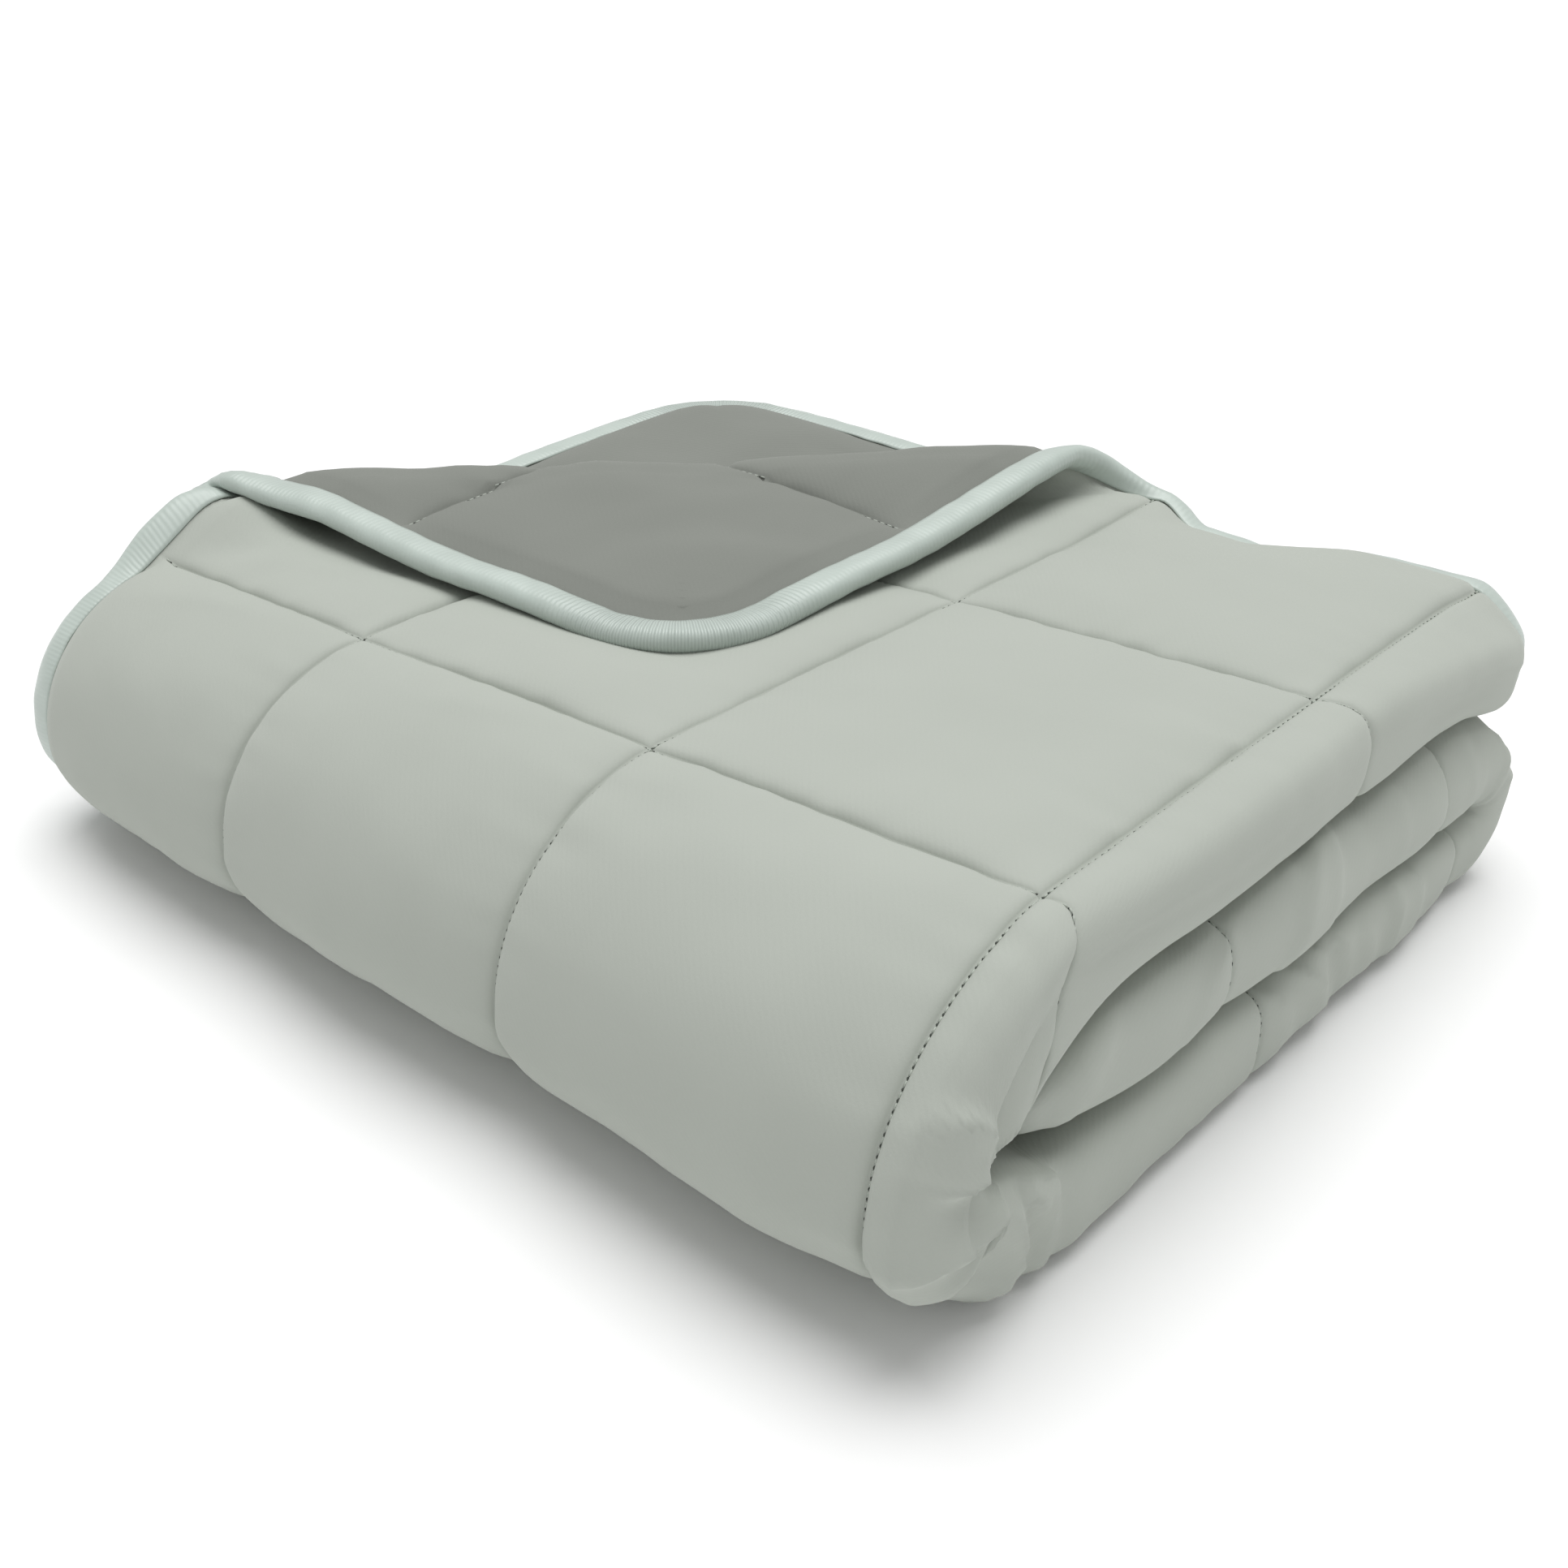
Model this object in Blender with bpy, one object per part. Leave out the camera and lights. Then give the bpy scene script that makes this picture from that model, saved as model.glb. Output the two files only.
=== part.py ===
"""Folded quilted blanket with a bound edge, in metres, +Z up, resting on z = 0.

The cloth is drawn flat in (u, v): u runs across it and v along it. It is then
folded in half lengthwise, the fold to the right (+X), and the doubled band is
folded in three from back to front, as a letter is. The far left corner of the
top ply is turned back on the diagonal, so its darker reverse shows.
"""

import math

import bpy
import numpy as np
from mathutils import Vector
from mathutils.geometry import delaunay_2d_cdt

# Quilting, across and along the cloth
COLUMN = 0.1306            # seam to seam in the top ply
FOLD_COLUMN = 0.080        # the column that the lengthwise fold runs through
UNDER_COLUMN = 0.1272      # seam to seam in the ply underneath
ROW = 0.1524
LENGTH = 1.163
CORNER_RADIUS = 0.046

# Thickness
PLY = 0.0154               # one ply at its fullest
SEAM_DEPTH = 0.0052        # how far a seam sinks into the light face
BACK_DEPTH = 0.0042        # and into the darker reverse
PUFF_REACH = 0.0095        # how fast the padding rises beside a seam
BAND = 0.0326              # both plies
LAYER = 0.0338             # from one doubled layer to the next
REVERSE = 0.0010           # thickness of the reverse cloth
GAP = 0.0004               # between one piece and the next
CROWN = 0.0040             # extra fullness of the squares that nothing presses

# Binding, as a folded ribbon seen end on: w runs inwards from the outer edge
BINDING_WIDTH = 0.0122
BINDING_HALF = 0.0041
BINDING_INSIDE = 0.0030
EDGE_HALF = 0.0024         # half of the cloth inside the binding
EDGE_INSET = 0.0036        # the cloth stops this far inside the binding
STITCH_LINE = 0.0144

# The three layers, seen from the left: y runs to the back
BACK_EDGE = 0.3048
TOP = 3 * LAYER - 0.001
TURN_TOP_Y = 0.006         # where the front turn leaves the top layer
TURN_LOW_Y = -0.012        # and where it reaches the bottom layer
FOLD_FULLNESS = 0.72       # under 1, the lengthwise fold is fuller than half a circle
FOLD_SWELL = 0.12
FRONT_Y = -0.065
FRONT_Z = 0.040            # height of the front's foremost line
FRONT_LENGTH = 0.200       # cloth in the front turn
HOLLOW_Y = -0.035          # inside of the front turn
CAP_Y, CAP_Z = -0.035, 0.0495   # where its right end closes, seen from the right
CAP_ROUND = 0.012
CAP_DOME = 0.004
BACK_TURN_Y = 0.262
BACK_STRETCH = 0.004

# The corner that is turned back
FOLD_LINE = 0.2235         # from the seam crossing at the origin, on the diagonal
FOLD_OPEN = 0.0019         # inside radius at the middle of the turned edge
FOLD_OPEN_ENDS = 0.0012    # added towards its two ends
FOLD_MIDDLE = 0.031
FOLD_REACH = 0.193
FOLD_SLIP = 0.018
TOE_RISE = 0.004
TIP_DROP = 0.0015
LEFT_SHIFT = 0.008         # the fold's left end lies nearer the front
LEFT_PRESS = 0.0052        # and is pressed flat
LEFT_LIFT = 0.0210         # its bound edge ramps up to it
LEFT_CLOSE = 0.0090        # and closes on the corner that lies over it
FLAP_PRESS = 0.6           # how flat the light face is pressed under the corner
REST_PRESS = 0.0013        # how much of the underside's swell its weight presses flat

# Positions that follow from these
SEAMS_U = [COLUMN * k for k in range(4)]
SEAMS_U += [SEAMS_U[3] + FOLD_COLUMN + UNDER_COLUMN * k for k in range(4)]
WIDTH = SEAMS_U[-1]
SEAMS_V = [ROW * k for k in range(8)] + [LENGTH]
HALF = BAND / 2
X_LEFT = -2 * COLUMN
U_ARC = SEAMS_U[3] + 0.004
X_ARC = U_ARC + X_LEFT
ARC = math.pi * HALF
V_TURN = BACK_EDGE - TURN_TOP_Y
V_UNDER = V_TURN + FRONT_LENGTH
V_BACK = V_UNDER + BACK_TURN_Y - TURN_LOW_Y
BACK_RADIUS = LAYER - 0.0005
V_MIDDLE = V_BACK + math.pi * BACK_RADIUS
ROOT2 = math.sqrt(2)


def ease(low, high, value):
    t = np.clip((value - low) / (high - low), 0, 1)
    return t * t * (3 - 2 * t)


def seam_distance(value, seams):
    return np.min([np.abs(value - s) for s in seams], axis=0)


def cell_swell(value, seams):
    """0 on every seam and 1 half-way between two."""
    cell = np.clip(np.searchsorted(seams, value) - 1, 0, len(seams) - 2)
    low = np.asarray(seams)[cell]
    high = np.asarray(seams)[cell + 1]
    return np.sin(math.pi * np.clip((value - low) / (high - low), 0, 1))


def inset(u, v):
    """Distance in from the cloth's outer edge."""
    return np.minimum(np.minimum(u, WIDTH - u), np.minimum(v, LENGTH - v))


def puff(u, v):
    inner_u = [STITCH_LINE] + SEAMS_U[1:-1] + [WIDTH - STITCH_LINE]
    inner_v = [STITCH_LINE] + SEAMS_V[1:-1] + [LENGTH - STITCH_LINE]
    across = 1 - np.exp(-seam_distance(u, inner_u) / PUFF_REACH)
    along = 1 - np.exp(-seam_distance(v, inner_v) / PUFF_REACH)
    return np.where(inset(u, v) > STITCH_LINE, np.minimum(1.03 * across * along, 1), 0)


def under_flap(u, v):
    """1 where the turned-back corner lies on the top ply, or is it."""
    x = u + X_LEFT
    y = BACK_EDGE - v
    covered = ease(-0.005, -0.035, x) * ease(0.025, 0.055, y)
    return covered * (u < U_ARC) * (v < V_TURN)


def faces_of_ply(u, v):
    """Depth of the light face and of the reverse, from the ply's light side."""
    full = puff(u, v)
    swell = cell_swell(u, SEAMS_U) * cell_swell(v, SEAMS_V)
    free = (1 - ease(V_TURN + 0.13, V_TURN + 0.18, v)) * (1 - under_flap(u, v))
    free = free * (u < U_ARC + ARC / 2)
    pressed = FLAP_PRESS * under_flap(u, v)
    light = SEAM_DEPTH * (1 - full * (1 - pressed)) - CROWN * swell * free
    turned = (u + v < 0.21) | ((u > WIDTH - 0.20) & (v < 0.13))
    dark = PLY - BACK_DEPTH * (1 - full) + 0.5 * CROWN * swell * turned
    middle = (SEAM_DEPTH + PLY - BACK_DEPTH) / 2
    edge = inset(u, v) <= STITCH_LINE + 1e-6
    light = np.where(edge, middle - EDGE_HALF, light)
    dark = np.where(edge, middle + EDGE_HALF, dark)
    return light, dark


def round_corners(u, v):
    """Draws the cloth's four square corners in to arcs."""
    p = np.maximum(CORNER_RADIUS - u, u - WIDTH + CORNER_RADIUS)
    q = np.maximum(CORNER_RADIUS - v, v - LENGTH + CORNER_RADIUS)
    inside = (p > 1e-9) & (q > 1e-9)
    p_safe = np.where(inside, p, 1.0)
    q_safe = np.where(inside, q, 1.0)
    shrink = np.maximum(p_safe, q_safe) / np.hypot(p_safe, q_safe)
    move_u = np.where(inside, p * (1 - shrink), 0)
    move_v = np.where(inside, q * (1 - shrink), 0)
    u = u + np.where(u < WIDTH / 2, move_u, -move_u)
    v = v + np.where(v < LENGTH / 2, move_v, -move_v)
    return u, v


def across_band(u, e):
    """The lengthwise fold: x, and the depth below the band's outer side.

    The fold is fuller than half a circle, so that each layer presses on the next.
    """
    s = u - U_ARC
    angle = np.clip(s / HALF, 0, math.pi)
    x = X_ARC + (HALF - e + 0.001) * np.abs(np.sin(angle)) ** FOLD_FULLNESS
    x = x + np.minimum(s, 0) - np.maximum(s - ARC, 0)
    fold = np.sin(angle) ** 2 * np.clip(1 - e / PLY, 0, 1)
    flank = np.sign(np.cos(angle)) * np.abs(np.cos(angle)) ** FOLD_FULLNESS
    return x, HALF - (HALF - e) * flank * (1 + FOLD_SWELL * fold)


def front_outline(angle):
    """Outer and inner side of the front turn, from its top (0) to its foot (pi)."""
    upper = angle < math.pi / 2
    start = np.where(upper, TURN_TOP_Y, TURN_LOW_Y)
    rise = np.where(upper, TOP - FRONT_Z, FRONT_Z)
    y_out = start - (start - FRONT_Y) * np.sin(angle)
    z_out = FRONT_Z + rise * np.cos(angle)
    y_in = start - (start - HOLLOW_Y) * np.sin(angle)
    z_in = TOP / 2 + (TOP / 2 - BAND) * np.cos(angle)
    return y_out, z_out, y_in, z_in


STEPS = np.linspace(0, math.pi, 361)
OUT_Y, OUT_Z = front_outline(STEPS)[:2]
RUN = np.concatenate([[0], np.cumsum(np.hypot(np.diff(OUT_Y), np.diff(OUT_Z)))])
RUN = RUN * FRONT_LENGTH / RUN[-1]


def along_band(v, depth):
    """The fold in three: y and z of a point this deep in the band."""
    angle = np.interp(v - V_TURN, RUN, STEPS)
    y_out, z_out, y_in, z_in = front_outline(angle)
    share = depth / BAND
    y_turn = y_out + (y_in - y_out) * share
    z_turn = z_out + (z_in - z_out) * share
    back = np.clip((v - V_BACK) / BACK_RADIUS, 0, math.pi)
    y_back = BACK_TURN_Y + (BACK_RADIUS - depth + BACK_STRETCH) * np.sin(back)
    z_back = BACK_RADIUS - (BACK_RADIUS - depth) * np.cos(back)
    end = ease(LENGTH - 0.055, LENGTH - 0.012, v)
    z_mid = z_back + end * 0.42 * (depth - HALF)
    y = np.select(
        [v <= V_TURN, v < V_UNDER, v <= V_BACK, v <= V_MIDDLE],
        [BACK_EDGE - v, y_turn, TURN_LOW_Y + v - V_UNDER, y_back],
        BACK_TURN_Y - (v - V_MIDDLE),
    )
    z = np.select(
        [v <= V_TURN, v < V_UNDER, v <= V_BACK, v <= V_MIDDLE],
        [TOP - depth, z_turn, depth, z_back],
        z_mid,
    )
    return y, z


def front_cap(u, v, e, x, y, z):
    """Closes the front turn's right end: the light face draws in to one point."""
    turn = ease(V_TURN - 0.055, V_TURN + 0.005, v)
    turn = turn * (1 - ease(V_UNDER - 0.008, V_UNDER + 0.016, v))
    s = u - U_ARC
    weight = turn * ease(-0.004, 0.012, s) * (1 - ease(0.085, 0.110, s))
    weight = weight * (1 - ease(0.0055, 0.0085, e))
    angle = np.interp(v - V_TURN, RUN, STEPS)
    y_out, z_out = front_outline(angle)[:2]
    y_out = np.where(v < V_TURN, BACK_EDGE - v, y_out)
    y_out = np.where(v > V_UNDER, TURN_LOW_Y + v - V_UNDER, y_out)

    # Where the bottom layer begins, the point slides back under the middle layer
    slide = ease(V_UNDER - 0.040, V_UNDER + 0.004, v)
    middle_y = CAP_Y + 0.023 * slide
    middle_z = CAP_Z - 0.0105 * slide
    reach = np.hypot(y_out - middle_y, z_out - middle_z)

    # Round the edge, then straight in, then back inside the roll
    bend = np.clip(s / CAP_ROUND, 0, math.pi / 2)
    straight = np.maximum(s - CAP_ROUND * math.pi / 2, 0)
    inwards = (CAP_ROUND - e) * (1 - np.cos(bend)) + e + straight
    past = np.maximum(inwards - 0.93 * reach, 0)
    inwards = np.minimum(inwards, 0.93 * reach)
    share = inwards / reach
    cap_x = X_ARC + (CAP_ROUND - e) * np.sin(bend) - past
    cap_x = cap_x + CAP_DOME * np.sin(bend) * ease(0, 0.03, straight)
    cap_x = cap_x - 0.005 * ease(0.78, 0.93, share) * (1 - slide)
    cap_y = y_out + (middle_y - y_out) * share
    cap_z = z_out + (middle_z - z_out) * share
    return x + weight * (cap_x - x), y + weight * (cap_y - y), z + weight * (cap_z - z)


def bend_shape(t):
    """The turned edge this far along: opening, left-end share, inside radius, middle."""
    open_up = np.clip(((t - FOLD_MIDDLE) / FOLD_REACH) ** 2, 0, 1.5)
    left = ease(-0.090, -0.155, t)
    inside = FOLD_OPEN + FOLD_OPEN_ENDS * open_up * (1 - left)
    return open_up * (1 - left), left, inside, FOLD_LINE - LEFT_SHIFT * left


def turn_back(x, y, z, edge):
    """Rolls the far left corner of the top ply over towards the front.

    The roll is tight at its left end, where edge is 1 along the bound edge.
    """
    n = (y - x) / ROOT2
    t = (x + y) / ROOT2
    open_up, left, inside, centre = bend_shape(t)
    radius = inside + PLY / 2
    start = centre - math.pi * radius / 2
    s = n - start
    angle = np.clip(s / radius, 0, math.pi)
    past = np.maximum(s - math.pi * radius, 0)
    reach = inside + TOP - z
    toe = TOE_RISE * open_up * ease(-0.050, 0.0, s)
    n_new = np.where(s > 0, start + reach * np.sin(angle) - past, n)
    z_new = np.where(s > 0, TOP + inside - reach * np.cos(angle), z)
    settle = 2 * inside - 0.0025 + toe + 2 * SEAM_DEPTH * FLAP_PRESS
    z_new = z_new + toe - settle * ease(0, 0.085, past)
    z_new = z_new - TIP_DROP * ease(0.085, 0.150, past)
    z_new = z_new - LEFT_PRESS * edge * ease(-0.135, -0.160, t) * (1 - np.cos(angle)) / 2
    t_new = t - FOLD_SLIP * angle / math.pi
    return (t_new - n_new) / ROOT2, (t_new + n_new) / ROOT2, z_new


def place(u, v, e):
    """Where a point of the flat cloth lies once it is folded; e is its depth."""
    u, v = round_corners(u, v)
    x, depth = across_band(u, e)
    y, z = along_band(v, depth)
    x, y, z = front_cap(u, v, e, x, y, z)

    # The middle layer's bound end narrows to a wedge beside that point
    wedge = ease(LENGTH - 0.075, LENGTH, v) * ease(0.080, 0.120, x)
    x = x - 0.008 * wedge * ease(0.12, 0.14, x)
    y = y - 0.004 * wedge
    squeeze = np.where(z > 0.052, 0.48 * ease(0.012, -0.034, y), 0.35 * ease(-0.004, -0.036, y))
    z = z + (0.052 - z) * squeeze * wedge

    # The far left corner turns back, and the left edge ramps up to its fold
    top_layer = v <= V_TURN
    upper = top_layer & (u < U_ARC)
    before = (y - x) / ROOT2
    rise = LEFT_LIFT * ease(0.167, 0.200, before) - LEFT_CLOSE * ease(0.203, 0.235, before)
    rise = rise * ease(-0.108, -0.165, (x + y) / ROOT2) * (u < U_ARC) * (v < V_TURN + 0.06)
    xt, yt, zt = turn_back(x, y, z, 1 - ease(0.004, 0.018, inset(u, v)))
    x, y, z = (np.where(upper, a, b) for a, b in ((xt, x), (yt, y), (zt, z)))
    z = z + rise * np.where(before > FOLD_LINE, ease(0.150, 0.205, (y - x) / ROOT2), 1)

    # The ply underneath reaches further back, and its bare corner lifts
    under = top_layer & (u > U_ARC + ARC)
    reach = ease(U_ARC + ARC, U_ARC + ARC + 0.12, u) * ease(0.30, 0.0, v)
    y = y + np.where(under, 0.024 * reach, 0)
    n = (y - x) / ROOT2
    z = z + np.where(under, 0.013 * ease(0.245, 0.42, n), 0)

    # Overhang at the back sags, most of all at the right
    sag = ease(0.240, 0.330, y) * ease(-0.02, 0.15, x) * top_layer
    z = z - sag * (0.004 + 0.012 * depth / BAND)

    # The far edge dips and draws in between the turned corner and the fold
    dip = ease(0.002, 0.024, x) * (1 - ease(0.040, 0.095, x)) * ease(0.22, 0.315, y)
    dip = dip * top_layer * np.where(upper, 1, 0.5)
    y = y - 0.007 * dip
    z = z - 0.006 * dip

    # Lower layers spread to the right at the back, but reach less far
    low = 1 - ease(0.048, 0.066, z)
    x = x + 0.026 * np.maximum(y, 0) * low * ease(-0.10, 0.13, x)
    y = y - 0.012 * low * ease(0.10, 0.150, x) * ease(0.15, 0.29, y)

    # The far end of the long fold is pressed lower
    z = z * (1 - 0.13 * ease(0.126, 0.150, x) * ease(0.16, 0.30, y))

    # The front turn's right end is rounder underneath
    z = z + 0.0055 * ease(0.105, 0.140, x) * ease(0.030, 0.004, z) * ease(-0.020, -0.050, y)

    # The front bulges more at the right, and the pile is thinner at the left
    front = np.interp(x, [-0.262, -0.131, 0.0, 0.131], [0.86, 0.98, 1.01, 1.07])
    y = np.where(y < 0, y * front, y)
    z = z * np.interp(x, [-0.262, 0.131], [0.95, 1.075])
    return x, y, z


# Where the cloth is cut into faces: every seam, and closer where it bends
U_STATIONS = [EDGE_INSET, STITCH_LINE, 0.027, 0.070, 0.116, SEAMS_U[1]]
U_STATIONS += [0.145, 0.190, 0.247, SEAMS_U[2]]
U_STATIONS += [0.276, 0.310, 0.345, 0.376, SEAMS_U[3]]
U_STATIONS += [U_ARC + ARC * k for k in (0.12, 0.29, 0.45, 0.60, 0.75, 0.92)]
U_STATIONS += [0.4605, SEAMS_U[4]]
for under_seam in SEAMS_U[4:6]:
    U_STATIONS += [under_seam + d for d in (0.017, 0.0636, 0.110, UNDER_COLUMN)]
U_STATIONS += [SEAMS_U[6] + d for d in (0.016, 0.060, 0.100)]
U_STATIONS += [WIDTH - STITCH_LINE, WIDTH - EDGE_INSET]

V_STATIONS = [EDGE_INSET, STITCH_LINE, 0.030, 0.076, 0.137, SEAMS_V[1]]
V_STATIONS += [0.168, 0.205, 0.250, 0.289, SEAMS_V[2]]
V_STATIONS += [0.318, 0.335, 0.353, 0.371, 0.389, 0.407, 0.425, 0.443, SEAMS_V[3]]
V_STATIONS += [0.471, 0.485, 0.500, 0.516, 0.562, SEAMS_V[4]]
V_STATIONS += [0.630, 0.664, 0.708, 0.742, SEAMS_V[5]]
V_STATIONS += [V_BACK + math.pi * BACK_RADIUS * k / 7 for k in range(8)]
V_STATIONS += [0.896, SEAMS_V[6], 0.932, 0.990, 1.048, SEAMS_V[7]]
V_STATIONS += [1.084, 1.114, LENGTH - STITCH_LINE, LENGTH - EDGE_INSET]
BEND_STEPS = [math.pi * k / 6 for k in range(7)]
BEND_SPACING = 0.024
INNER_RING = 0.030
CORNER_TANGENTS = [math.tan(math.radians(15 * k)) for k in range(4)]
BINDING_SECTION = [
    (BINDING_WIDTH, 0.0038), (0.0030, BINDING_HALF), (0.0002, 0.0),
    (0.0030, -BINDING_HALF), (BINDING_WIDTH, -0.0038),
    (BINDING_WIDTH, -BINDING_INSIDE), (0.0029, -BINDING_INSIDE),
    (0.0029, BINDING_INSIDE), (BINDING_WIDTH, BINDING_INSIDE),
]


def bend_line(angle):
    """Flat positions along one straight line of the turned edge, edge to edge."""
    t = np.linspace(-0.28, 0.36, 2561)
    _, _, inside, centre = bend_shape(t)
    n = centre + (inside + PLY / 2) * (angle - math.pi / 2)
    u = (t - n) / ROOT2 - X_LEFT
    v = BACK_EDGE - (t + n) / ROOT2
    first, second = np.interp([EDGE_INSET, STITCH_LINE], u, t)
    before, last = np.interp([-STITCH_LINE, -EDGE_INSET], -v, t)
    count = int((before - second) / BEND_SPACING)
    where = np.concatenate([[first], np.linspace(second, before, count + 1), [last]])
    u = np.interp(where, t, u)
    v = np.interp(where, t, v)
    u[:2] = EDGE_INSET, STITCH_LINE
    v[-2:] = STITCH_LINE, EDGE_INSET
    return list(zip(u, v))


def near_bend(u, v):
    n = (BACK_EDGE - v - u - X_LEFT) / ROOT2
    t = (u + X_LEFT + BACK_EDGE - v) / ROOT2
    _, _, inside, centre = bend_shape(t)
    reach = (inside + PLY / 2) * math.pi / 2 + 0.007
    return u < SEAMS_U[2] + 0.06 and abs(n - centre) < reach


def corner_points(ring):
    """One rounded corner's points on this ring, as (u, v) of the near left one."""
    out = CORNER_RADIUS - ring
    near = [(out, out * k) for k in CORNER_TANGENTS]
    far = [(q, p) for p, q in near[::-1]]
    return [(CORNER_RADIUS - p, CORNER_RADIUS - q) for p, q in near + far[1:]]


def ring_points(ring, extra):
    """Points round the whole cloth at this distance in, in order."""
    plain_u = [u for u in U_STATIONS if CORNER_RADIUS < u < WIDTH - CORNER_RADIUS]
    plain_v = [v for v in V_STATIONS if CORNER_RADIUS < v < LENGTH - CORNER_RADIUS]
    near_v = [v for _, v in extra[0]]
    plain_u = [u for u in plain_u if all(not -0.017 < u - e < 0.007 for e, _ in extra[1])]
    free_v = [v for v in plain_v if all(not -0.017 < v - e < 0.007 for e in near_v)]
    side_v = sorted(free_v + near_v)
    side_u = sorted(plain_u + [u for u, _ in extra[1]])
    loop = corner_points(ring)
    points = [(ring, v) for v in side_v[::-1]]
    points += loop
    points += [(u, ring) for u in side_u]
    points += [(WIDTH - u, v) for u, v in loop[::-1]]
    points += [(WIDTH - ring, v) for v in plain_v]
    points += [(WIDTH - u, LENGTH - v) for u, v in loop]
    points += [(u, LENGTH - ring) for u in plain_u[::-1]]
    points += [(u, LENGTH - v) for u, v in loop[::-1]]
    return points


def flat_net():
    """Points and triangles of the flat cloth, and the order of its outer ring."""
    bends = [bend_line(angle) for angle in BEND_STEPS]
    extra = ([line[0] for line in bends], [line[-1] for line in bends])
    rim = ring_points(EDGE_INSET, extra)
    stitched = ring_points(STITCH_LINE, ([], []))
    points = []
    edges = []

    def add_line(line, closed=False):
        start = len(points)
        points.extend(line)
        edges.extend((start + k, start + k + 1) for k in range(len(line) - 1))
        if closed:
            edges.append((start + len(line) - 1, start))

    add_line(rim, closed=True)
    points.extend(p for p in stitched if not near_bend(*p))
    far_u, far_v = WIDTH - STITCH_LINE, LENGTH - STITCH_LINE
    add_line([(STITCH_LINE, STITCH_LINE), (far_u, STITCH_LINE), (far_u, far_v),
              (STITCH_LINE, far_v)], closed=True)
    for u, v in corner_points(INNER_RING):
        for uu, vv in ((u, v), (WIDTH - u, v), (u, LENGTH - v), (WIDTH - u, LENGTH - v)):
            if not near_bend(uu, vv):
                points.append((uu, vv))
    for line in bends:
        add_line(line)
    for u in U_STATIONS[2:-2]:
        for v in V_STATIONS[2:-2]:
            p = max(CORNER_RADIUS - u, u - WIDTH + CORNER_RADIUS)
            q = max(CORNER_RADIUS - v, v - LENGTH + CORNER_RADIUS)
            if (p > 0 and q > 0) or near_bend(u, v):
                continue
            points.append((u, v))
    for u in SEAMS_U[1:-1]:
        start = 0.034 if near_bend(u, STITCH_LINE) else EDGE_INSET
        add_line([(u, start), (u, LENGTH - EDGE_INSET)])
    for v in SEAMS_V[1:-1]:
        add_line([(EDGE_INSET, v), (WIDTH - EDGE_INSET, v)])
    made = delaunay_2d_cdt([Vector(p) for p in points], edges, [], 0, 1e-5)
    ends = {line[k] for line in bends for k in (0, -1)}
    on_bend = np.array([p in ends for p in rim])
    return np.array([tuple(p) for p in made[0]]), np.array(made[2]), rim, on_bend


def principled(name, colour, roughness):
    material = bpy.data.materials.new(name)
    material.use_nodes = True
    shader = material.node_tree.nodes["Principled BSDF"]
    shader.inputs["Base Color"].default_value = colour
    shader.inputs["Roughness"].default_value = roughness
    return material


def make_object(name, points, faces, material):
    mesh = bpy.data.meshes.new(name)
    mesh.from_pydata(points.tolist(), [], faces.tolist())
    mesh.update()
    mesh.materials.append(material)
    mesh.polygons.foreach_set("use_smooth", [True] * len(mesh.polygons))
    made = bpy.data.objects.new(name, mesh)
    bpy.context.scene.collection.objects.link(made)
    return made


def facing_out(points, faces):
    corners = points[faces]
    volume = np.einsum("ij,ij->", corners[:, 0], np.cross(corners[:, 1], corners[:, 2]))
    return faces if volume > 0 else faces[:, ::-1]


def outer_loop(triangles):
    """The net's rim, as directed edges that follow their triangles."""
    ends = np.concatenate([triangles[:, [0, 1]], triangles[:, [1, 2]], triangles[:, [2, 0]]])
    known = {tuple(e) for e in ends.tolist()}
    return np.array([(a, b) for a, b in known if (b, a) not in known])


def cloth_solid(uv, triangles, upper, lower):
    """One closed skin between two depths of the same net."""
    count = len(uv)
    top = np.stack(place(uv[:, 0], uv[:, 1], upper), axis=1)
    bottom = np.stack(place(uv[:, 0], uv[:, 1], lower), axis=1)
    rim = outer_loop(triangles)
    a, b = rim[:, 0], rim[:, 1]
    faces = np.concatenate([
        triangles,
        triangles[:, ::-1] + count,
        np.stack([b, a, b + count], axis=1),
        np.stack([a, a + count, b + count], axis=1),
    ])
    points = np.concatenate([top, bottom])
    return points, facing_out(points, faces)


def binding_solid(ring, on_bend):
    """The ribbon's section carried round the rim, folded with the cloth.

    Where the edge runs through the turned corner, the section slants with the bend.
    """
    middle = (SEAM_DEPTH + PLY - BACK_DEPTH) / 2
    count = len(ring)
    size = len(BINDING_SECTION)
    columns = []
    for w, height in BINDING_SECTION:
        u = np.array([p[0] for p in ring])
        v = np.array([p[1] for p in ring])
        move = w - EDGE_INSET
        p = np.maximum(CORNER_RADIUS - u, u - WIDTH + CORNER_RADIUS)
        q = np.maximum(CORNER_RADIUS - v, v - LENGTH + CORNER_RADIUS)
        reach = np.maximum(p, q)
        p_new = np.where(p > 0, p * (reach - move) / reach, p)
        q_new = np.where(q > 0, q * (reach - move) / reach, q)
        left = u < EDGE_INSET + 1e-6
        u = np.where(u < WIDTH / 2, CORNER_RADIUS - p_new, WIDTH - CORNER_RADIUS + p_new)
        v = np.where(v < LENGTH / 2, CORNER_RADIUS - q_new, LENGTH - CORNER_RADIUS + q_new)
        u = u - np.where(on_bend & ~left, move, 0)
        v = v - np.where(on_bend & left, move, 0)
        columns.append(np.stack(place(u, v, middle + height), axis=1))
    points = np.stack(columns, axis=1).reshape(-1, 3)
    faces = []
    for k in range(count):
        after = (k + 1) % count
        for j in range(size):
            side = (j + 1) % size
            a, b = k * size + j, k * size + side
            c, d = after * size + side, after * size + j
            faces += [(a, b, c), (a, c, d)]
    return points, facing_out(points, np.array(faces))


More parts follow.
